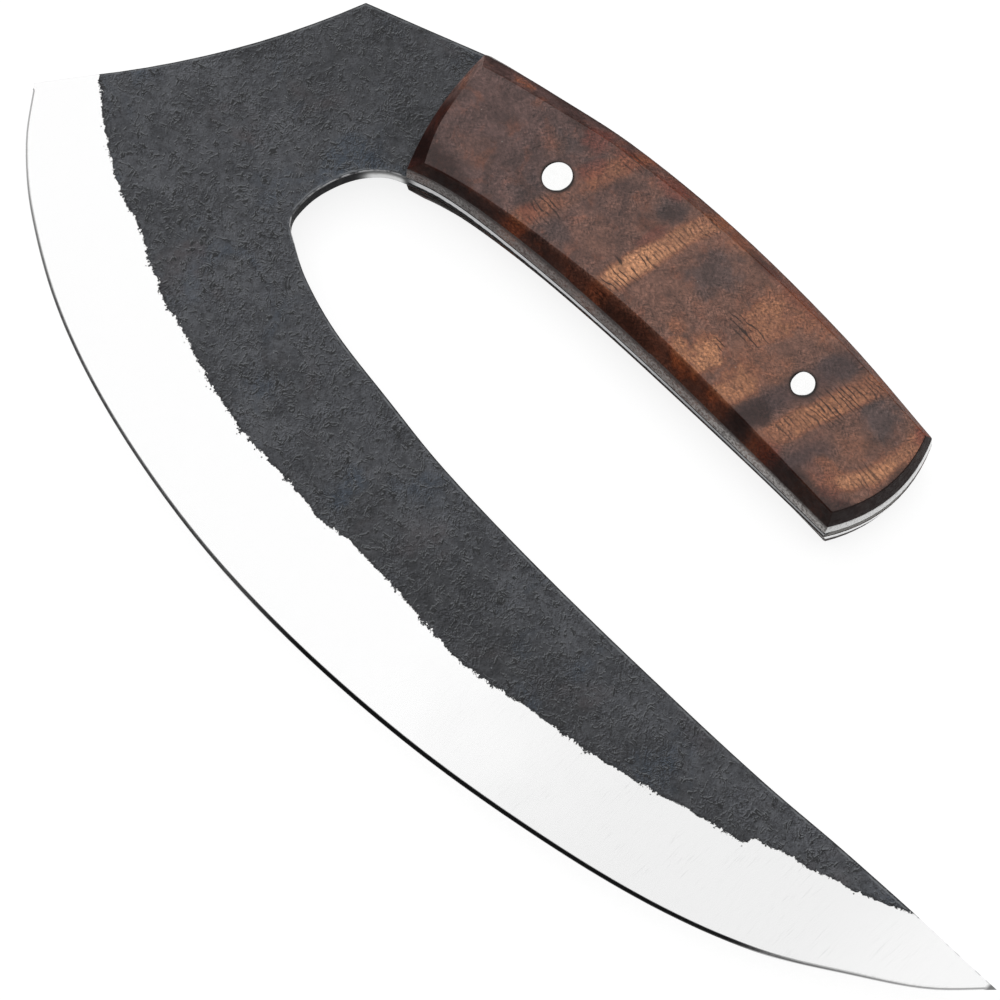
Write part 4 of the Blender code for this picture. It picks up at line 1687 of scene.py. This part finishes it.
    def _skin(self) -> Piece:
        """The closed skin: rows of the front face, the inner wall, the back face and the outer wall.

        Returns:
            The skin.
        """
        places, outer_gaps, inner_gaps = self._crossings()
        halves = self._half_thickness(places)
        stations, rows, _ = places.shape
        flat = places.reshape(-1, 2)
        border = self._border_gap(flat).reshape(stations, rows)
        edge_line = self.rails[RailSide.OUTER][: self._heel_station() + 1]
        edge = self._line_gap(flat, edge_line[::3], edge_line[3::3]).reshape(stations, rows)
        keen = np.arange(stations) <= self._heel_station()
        most = self.arris_share * halves
        outer_round = np.where(keen, 0.0, np.minimum(self.arris_mm, most[:, self.arris_row]))
        inner_round = np.minimum(self.arris_mm, most[:, -1 - self.arris_row])
        drop = self._round_drop(outer_gaps, outer_round) + self._round_drop(inner_gaps, inner_round)
        front, back = (face * (halves - drop + self._relief(places, border, face)) for face in (1, -1))

        count = 2 * (rows + len(self.wall_rows))
        vertices, spots, walls = [], [], []
        for station in range(stations):
            inner_wall = self._wall_heights(front[station, -1], back[station, -1])
            outer_wall = self._wall_heights(front[station, 0], back[station, 0])[::-1]
            ring = [(row, front[station, row], 0.0) for row in range(rows)]
            ring += [(rows - 1, height, 1.0) for height in inner_wall]
            ring += [(row, back[station, row], 0.0) for row in reversed(range(rows))]
            ring += [(0, height, 0.0 if keen[station] else 1.0) for height in outer_wall]
            for row, height, wall in ring:
                vertices.append(plan_to_frame(*places[station, row], height))
                spots.append(station * rows + row)
                walls.append(wall)
        quads = []
        for first in range(0, (stations - 1) * count, count):
            for index in range(count):
                after = (index + 1) % count
                quads.append((first + index, first + after, first + count + after, first + count + index))
        mesh = bpy.data.meshes.new("forged_plate")
        mesh.from_pydata(vertices, [], quads)
        rim = np.where(keen[:, None], inner_gaps, np.minimum(outer_gaps, inner_gaps))
        facts = {"border_mm": border, "edge_mm": edge, "rim_mm": rim, "inner_side": inner_gaps < outer_gaps}
        facts = {name: values.ravel()[spots] for name, values in facts.items()}
        for name, values in {**facts, "wall": walls}.items():
            attribute = mesh.attributes.new(name, "FLOAT", "POINT")
            attribute.data.foreach_set("value", np.array(values, np.float32))
        piece = add_object("forged_plate", mesh)
        self._close(piece, rows, count, stations)
        return piece

    @staticmethod
    def _round_drop(gaps: np.ndarray, radius: np.ndarray) -> np.ndarray:
        """How far a rounded arris falls below the face, by the distance from the rail.

        Args:
            gaps: distances to the rail, stations by rows.
            radius: each station's radius.

        Returns:
            The drops in millimetres.
        """
        spread = radius[:, None]
        inside = np.clip(spread - gaps, 0, None)
        return spread - np.sqrt(np.clip(spread**2 - inside**2, 0, None))

    def _close(self, piece: Piece, rows: int, ring: int, stations: int) -> None:
        """Closes the two ends of the skin and turns its faces outwards.

        Args:
            piece: the skin.
            rows: rows on each face.
            ring: vertices round one station.
            stations: how many stations there are.
        """
        walls = len(self.wall_rows)
        under = 2 * rows + walls - 1
        builder = bmesh.new()
        builder.from_mesh(piece.data)
        builder.verts.ensure_lookup_table()
        for first in (0, (stations - 1) * ring):
            for row in range(rows - 1):
                corners = (row, row + 1, under - row - 1, under - row)
                builder.faces.new([builder.verts[first + corner] for corner in corners])
            for start in (rows - 1, under):
                builder.faces.new([builder.verts[first + (start + step) % ring] for step in range(walls + 2)])
        bmesh.ops.remove_doubles(builder, verts=builder.verts[:], dist=0.4e-6)
        bmesh.ops.dissolve_degenerate(builder, edges=builder.edges[:], dist=1e-7)
        bmesh.ops.recalc_face_normals(builder, faces=builder.faces[:])
        builder.to_mesh(piece.data)
        builder.free()
        smooth(piece, 38)

    def _drill(self, piece: Piece) -> None:
        """Cuts the two pin holes, a hair wider than the pins' glue.

        Args:
            piece: the skin.
        """
        for node in PINS:
            centre, radius, _ = pin_bar(node)
            cutter = upright_bar("cutter", centre, radius + self.hole_gap_mm * MM, self.cutter_mm * MM, 48)
            settle(cutter)
            hole = piece.modifiers.new("hole", "BOOLEAN")
            hole.operation = "DIFFERENCE"
            hole.object = cutter
            hole.solver = "EXACT"
            apply_modifiers(piece)
            bpy.data.objects.remove(cutter, do_unlink=True)


# The grip


@dataclass
class GripScale:
    """One wood scale: walls, chamfers and facet with softly worn arrises."""

    node: str
    name: str
    looks: tuple
    arris_mm: float = 0.32
    seat_arris_mm: float = 0.12
    # Up to this height over the middle plane an arris belongs to the seat
    seat_top_mm: float = 2.7
    # Arrises so near to a pin are its hole's rim, which stays sharp
    rim_mm: float = 0.6
    # How high over the middle plane the walls end, at places along the grip
    wall_tops: tuple = ((63.5, 186.0), (5.7, 4.1))

    def build(self) -> Piece:
        """Builds and dresses the scale.

        Returns:
            The finished piece.
        """
        piece = copy_of_node(self.node, self.name)
        bpy.ops.object.mode_set(mode="EDIT")
        bpy.ops.mesh.select_all(action="SELECT")
        bpy.ops.mesh.dissolve_limited(angle_limit=math.radians(0.15))
        bpy.ops.mesh.select_all(action="SELECT")
        bpy.ops.mesh.tris_convert_to_quads(face_threshold=math.radians(8), shape_threshold=math.radians(170))
        bpy.ops.object.mode_set(mode="OBJECT")
        self._round(piece, self.arris_mm, seat=False)
        self._round(piece, self.seat_arris_mm, seat=True)
        select_only(piece)
        bpy.ops.object.shade_smooth()
        weighted = piece.modifiers.new("even_normals", "WEIGHTED_NORMAL")
        weighted.mode = "FACE_AREA"
        weighted.keep_sharp = True
        apply_modifiers(piece)
        dress(piece, self.looks, "figured_wood", self.node)
        for face in piece.data.polygons:
            face.material_index = self._side((face.center - HEEL) / MM, face.normal).value
        return piece

    def _side(self, place: Vector, normal: Vector) -> WoodSide:
        """Which kind of face lies at a place.

        Args:
            place: the face's middle, in plan millimetres.
            normal: the way that it looks.

        Returns:
            The kind.
        """
        tilt = abs(normal.z)
        if tilt > 0.96:
            return WoodSide.FACET
        wall = abs(place.z) < float(np.interp(place.x, *self.wall_tops))
        level = math.sqrt(1 - tilt**2)
        if normal.x > 0.62 * level:
            return WoodSide.TIP if wall else WoodSide.END
        if wall:
            return WoodSide.WALL
        return WoodSide.FRONT if normal.x < -0.72 * level else WoodSide.CHAMFER

    def _round(self, piece: Piece, width_mm: float, seat: bool) -> None:
        """Rounds the arrises at the seat, or all the others but the pin holes' rims.

        Args:
            piece: the scale.
            width_mm: the rounding's width.
            seat: which arrises are rounded.
        """
        side = 1 if "front" in self.node else -1
        pins = [pin_place(node) for node in PINS]

        def wanted(edge: Any) -> bool:
            """Whether an edge is one of these arrises.

            Args:
                edge: the edge.

            Returns:
                True where it is.
            """
            if not edge.is_manifold or edge.calc_face_angle() < math.radians(14):
                return False
            middle = ((edge.verts[0].co + edge.verts[1].co) / 2 - HEEL) / MM
            if any((middle - place).xy.length < radius + self.rim_mm for place, radius in pins):
                return False
            rise = max(side * (vertex.co.z - HEEL.z) for vertex in edge.verts)
            return (rise < self.seat_top_mm * MM) == seat

        select_only(piece)
        bpy.ops.object.mode_set(mode="EDIT")
        pick(piece, "EDGE", wanted)
        bpy.ops.mesh.bevel(offset=width_mm * MM, segments=3, affect="EDGES", clamp_overlap=True)
        bpy.ops.object.mode_set(mode="OBJECT")


@dataclass
class GripPin:
    """One pin: a bar with slightly crowned heads that wore into the wood's facets.

    Its outline is an oval with dents, each of them so many to a turn, so deep and so far round.
    """

    node: str
    name: str
    material: bpy.types.Material
    oval: float
    dents: tuple
    lean: tuple = (-0.08, 0.05)
    sides: int = 72
    arris_mm: float = 0.14

    def build(self) -> Piece:
        """Builds and dresses the pin.

        Returns:
            The finished piece.
        """
        centre, radius, height = pin_bar(self.node)
        piece = upright_bar(self.name, centre, radius, height, self.sides)
        bpy.ops.object.mode_set(mode="EDIT")
        pick(piece, "EDGE", lambda edge: abs(edge.verts[0].co.z - edge.verts[1].co.z) < 1e-7)
        bpy.ops.mesh.bevel(offset=self.arris_mm * MM, segments=3, affect="EDGES")
        pick(piece, "FACE", lambda face: abs(face.normal.z) > 0.99 and len(face.verts) > 8)
        for share in (0.35, 0.30):
            bpy.ops.mesh.inset(thickness=radius * share)
        bpy.ops.object.mode_set(mode="OBJECT")
        settle(piece)
        for vertex in piece.data.vertices:
            away = vertex.co - centre
            angle = math.atan2(away.y, away.x)
            swell = 1.0 + sum(share * math.sin(turns * angle + phase) for turns, share, phase in self.dents)
            vertex.co.x = centre.x + away.x * swell + self.lean[0] * MM
            vertex.co.y = centre.y + away.y * swell * self.oval + self.lean[1] * MM
        smooth(piece, 25)
        return dress(piece, (self.material,), "pin_steel", self.node)


@dataclass
class PinGlue:
    """The sleeve of glue between one pin and the wood, a little below the facets."""

    node: str
    name: str
    material: bpy.types.Material
    sunk_mm: float = 0.16
    gap_mm: float = 0.3
    # How far the sleeve reaches into the pin, and how much it leaves to the hole's wall
    lap_mm: float = 0.12
    play_mm: float = 0.01
    rim_mm: float = 0.05

    def build(self) -> Piece:
        """Builds and dresses the sleeve.

        Returns:
            The finished piece.
        """
        centre, radius, height = pin_bar(self.node)
        outside = radius + self.gap_mm * MM - self.play_mm * MM
        piece = upright_bar(self.name, centre, outside, height - 2 * self.sunk_mm * MM, 64, "NOTHING")
        sleeve = piece.modifiers.new("sleeve", "SOLIDIFY")
        sleeve.thickness = (self.gap_mm + self.lap_mm) * MM
        sleeve.offset = -1
        rim = piece.modifiers.new("rim", "BEVEL")
        rim.width = self.rim_mm * MM
        rim.segments = 2
        apply_modifiers(piece)
        settle(piece)
        smooth(piece, 30)
        return dress(piece, (self.material,), "figured_wood")


@dataclass
class SeatGlue:
    """The film of glue between one scale and the tang, set back from the outline."""

    node: str
    name: str
    material: bpy.types.Material
    seat_top_mm: float = 2.6
    setback_mm: float = 0.15
    film_mm: float = 0.24
    play_mm: float = 0.03

    def build(self) -> Piece:
        """Builds and dresses the film.

        Returns:
            The finished piece.
        """
        side = 1 if "front" in self.node else -1
        seat_top = self.seat_top_mm * MM

        def off_seat(face: Any) -> bool:
            """Whether a face isn't part of the seat.

            Args:
                face: the face.

            Returns:
                True where it isn't.
            """
            low_enough = max(side * (vertex.co.z - HEEL.z) for vertex in face.verts) < seat_top
            return not (low_enough and abs(face.normal.z) > 0.9)

        piece = copy_of_node(self.node, self.name)
        bpy.ops.object.mode_set(mode="EDIT")
        pick(piece, "FACE", off_seat)
        bpy.ops.mesh.delete(type="FACE")
        bpy.ops.mesh.select_all(action="SELECT")
        bpy.ops.mesh.dissolve_limited(angle_limit=math.radians(0.5))
        bpy.ops.mesh.select_all(action="SELECT")
        bpy.ops.mesh.inset(thickness=self.setback_mm * MM)
        bpy.ops.mesh.select_all(action="INVERT")
        bpy.ops.mesh.delete(type="FACE")
        bpy.ops.mesh.select_all(action="SELECT")
        bpy.ops.mesh.extrude_region_move(TRANSFORM_OT_translate={"value": (0, 0, -side * self.film_mm * MM)})
        bpy.ops.mesh.select_all(action="SELECT")
        bpy.ops.transform.translate(value=(0, 0, -side * self.play_mm * MM))
        bpy.ops.mesh.normals_make_consistent(inside=False)
        bpy.ops.object.mode_set(mode="OBJECT")
        return dress(piece, (self.material,), "figured_wood")


# The studio


@dataclass
class Studio:
    """A pale table, a white surround, one broad soft lamp overhead and the camera."""

    azimuth: float = 44.66
    elevation: float = 72.0
    distance: float = 0.800
    lens_mm: float = 144.0
    target: tuple = (-0.0026, -0.01195, 0.0095)
    table_half: float = 3.0
    # The table lies a hair below the knife, so that their faces don't fight
    table_gap_mm: float = 0.02
    table_colour: float = 0.26
    table_glow: float = 0.84
    # Reflections see the white sheet round the knife, and the dark room past it
    sheet_reach_mm: tuple = (150.0, 92.0)
    # The room's dark parts: where each lies, its inner and outer angle, and how dark it is
    dark_parts: tuple = (
        ((0.20, -0.842, 0.50), 39.0, 50.0, 0.95),
        ((-0.42, -0.86, 0.22), 34.0, 46.0, 0.95),
        ((0.912, 0.22, 0.348), 22.0, 36.0, 0.90),
    )
    lamp_size: float = 1.5
    lamp_power: float = 8.2
    lamp_place: tuple = (-0.25, 0.30, 1.25)
    fill: float = 0.52

    def build(self) -> None:
        """Sets up the table, the light and the camera."""
        self._table()
        self._surround()
        self._lamp()
        self._camera()
        bpy.context.scene.view_settings.view_transform = "Standard"

    def _table(self) -> None:
        """The table that the knife lies on: its own colour keeps the shadow, and its glow keeps it white."""
        bpy.ops.object.select_all(action="DESELECT")
        bpy.ops.mesh.primitive_plane_add(size=2 * self.table_half, location=(0, 0, -self.table_gap_mm * MM))
        table = bpy.context.active_object
        table.name = "table"
        settle(table)
        material = bpy.data.materials.new("pale_table")
        material.use_nodes = True
        bench = NodeBench(material.node_tree)
        material.node_tree.nodes.clear()
        paint = bench.wire(bench.add("ShaderNodeBsdfDiffuse"), {"Color": (self.table_colour,) * 3})
        reach = [1 / (value * MM) for value in self.sheet_reach_mm] + [0.0]
        outwards = bench.length(bench.scaled(bench.add("ShaderNodeTexCoord").outputs["Object"], reach))
        glossy = bench.add("ShaderNodeLightPath").outputs["Is Glossy Ray"]
        dark = bench.times(bench.step(outwards, 1.0, 1.25, 0.0, 0.94), glossy)
        strength = bench.times(self._seen(bench), self.table_glow)
        strength = bench.times(strength, bench.less(1.0, dark))
        glow = bench.wire(bench.add("ShaderNodeEmission"), {"Strength": strength})
        both = bench.wire(bench.add("ShaderNodeAddShader"), {0: paint.outputs[0], 1: glow.outputs[0]})
        bench.wire(bench.add("ShaderNodeOutputMaterial"), {"Surface": both.outputs[0]})
        table.data.materials.append(material)

    @staticmethod
    def _seen(bench: NodeBench) -> Socket:
        """Which rays see a thing as it is: those from the camera, a reflection or a clear piece.

        Args:
            bench: the tree's bench.

        Returns:
            The socket, 1 for these rays and 0 for the others.
        """
        path = bench.add("ShaderNodeLightPath")
        seen = bench.most(path.outputs["Is Camera Ray"], path.outputs["Is Glossy Ray"])
        return bench.most(seen, path.outputs["Is Transmission Ray"])

    def _surround(self) -> None:
        """The white surround, with the dark of the room behind the camera in reflections alone."""
        world = bpy.data.worlds.new("surround")
        bpy.context.scene.world = world
        world.use_nodes = True
        bench = NodeBench(world.node_tree)
        world.node_tree.nodes.clear()
        direction = bench.add("ShaderNodeTexCoord").outputs["Generated"]
        dark: Any = 0.0
        for aim, inner, outer, depth in self.dark_parts:
            toward = bench.vector("DOT_PRODUCT", direction, tuple(Vector(aim).normalized())).outputs["Value"]
            edges = (math.cos(math.radians(angle)) for angle in (outer, inner))
            dark = bench.most(bench.step(toward, *edges, 0.0, depth), dark)
        reflected = bench.times(dark, bench.add("ShaderNodeLightPath").outputs["Is Glossy Ray"])
        strength = bench.times(bench.most(self._seen(bench), self.fill), bench.less(1.0, reflected))
        back = bench.wire(bench.add("ShaderNodeBackground"), {"Color": (1.0, 1.0, 1.0), "Strength": strength})
        bench.wire(bench.add("ShaderNodeOutputWorld"), {"Surface": back.outputs[0]})

    def _lamp(self) -> None:
        """One broad soft lamp overhead."""
        data = bpy.data.lights.new("soft_lamp", "AREA")
        data.shape = "SQUARE"
        data.size = self.lamp_size
        data.energy = self.lamp_power
        lamp = add_object("soft_lamp", data)
        lamp.location = Vector(self.lamp_place)
        lamp.rotation_mode = "QUATERNION"
        lamp.rotation_quaternion = (-lamp.location).to_track_quat("-Z", "Y")
        # Reflections see the even white surround instead
        lamp.visible_glossy = False

    def _camera(self) -> None:
        """The camera at the photographed angle."""
        data = bpy.data.cameras.new("camera")
        data.lens = self.lens_mm
        data.sensor_width = 36.0
        data.clip_start = 0.05
        data.clip_end = 20.0
        camera = add_object("camera", data)
        turn = math.radians(self.azimuth)
        rise = math.radians(self.elevation)
        back = Vector((math.sin(turn) * math.cos(rise), -math.cos(turn) * math.cos(rise), math.sin(rise)))
        right = Vector((math.cos(turn), math.sin(turn), 0.0))
        matrix = Matrix((right, back.cross(right), back)).transposed().to_4x4()
        matrix.translation = Vector(self.target) + back * self.distance
        camera.matrix_world = matrix
        bpy.context.scene.camera = camera


def wood_looks(effects: Effects) -> dict:
    """The looks of the two scales' faces.

    Args:
        effects: the shared node groups.

    Returns:
        Each look by its name.
    """
    plain = (1.0, 1.0, 1.0)
    # Painted shade for the end, whose layer of painted reflection is dark blue-grey
    darkening = (0.24, 0.22, 0.24)
    # One wood with a tint for each kind of face, as painted light and shade: chamfer, wall and end darker,
    # the tip near-white and the front's upper part pale as painted highlights, the back scale's wall nearly
    # black as painted shade
    finishes = (
        WoodFinish("facet", plain, plain, 0.34, 0.08, (0.22, 0.36)),
        WoodFinish(
            "chamfer", (0.48, 0.34, 0.29), (1.0, 0.96, 0.98), 0.05, 0.0, (0.45, 0.62), glow=0.44, rim=0.35
        ),
        WoodFinish("wall", (0.60, 0.54, 0.52), (0.55, 0.45, 0.42), 0.30, 0.0, (0.45, 0.65), 1.0),
        WoodFinish("end", darkening, darkening, 0.05, 0.0, (0.50, 0.70), 0.75, (0.095, 0.097, 0.108), (1.0,) * 6),
        WoodFinish("tip", plain, plain, 1.0, 1.0, (0.20, 0.35), 2.4, (0.95, 0.95, 0.94)),
        WoodFinish("front", (0.42, 0.27, 0.25), (1.9, 2.05, 2.05), 0.08, 0.0, (0.45, 0.62), glow=0.3),
        WoodFinish(
            "back_wall", (0.10, 0.09, 0.09), (0.30, 0.25, 0.24), 0.02, 0.0, (0.55, 0.75),
            1.0, (0.70, 0.69, 0.68), (0.0, 0.0, 0.0, 0.15, 0.55, 1.4)
        ),
    )
    wood = FiguredWood(effects).build()
    return {finish.name: finish.build(wood) for finish in finishes}


def main() -> None:
    """Builds the knife and its studio."""
    logging.basicConfig(level=logging.INFO, format="%(name)s: %(message)s")
    effects = Effects()
    wood = wood_looks(effects)
    front_looks = tuple(wood[side] for side in ("facet", "chamfer", "wall", "end", "tip", "front"))
    back_looks = tuple(wood[side] for side in ("facet", "chamfer", "back_wall", "end", "tip", "front"))
    pin_look = PinSteel(effects).build()
    glue = DarkGlue(effects).build()
    pieces = (
        Plate(ForgedSteel(effects).build(), ForgedEdge(effects).build()),
        GripScale("front_scale", "front_grip_scale", front_looks),
        GripScale("back_scale", "back_grip_scale", back_looks),
        GripPin("front_pin", "front_grip_pin", pin_look, 1.11, ((2, 0.008, 0.4), (3, 0.006, 1.0))),
        GripPin("rear_pin", "rear_grip_pin", pin_look, 1.10, ((3, 0.024, 0.9), (5, 0.012, 2.1))),
        PinGlue("front_pin", "front_pin_glue", glue),
        PinGlue("rear_pin", "rear_pin_glue", glue),
        SeatGlue("front_scale", "front_seat_glue", glue),
        SeatGlue("back_scale", "back_seat_glue", glue),
    )
    for piece in pieces:
        piece.build()
    Studio().build()


if __name__ == "__main__":
    main()
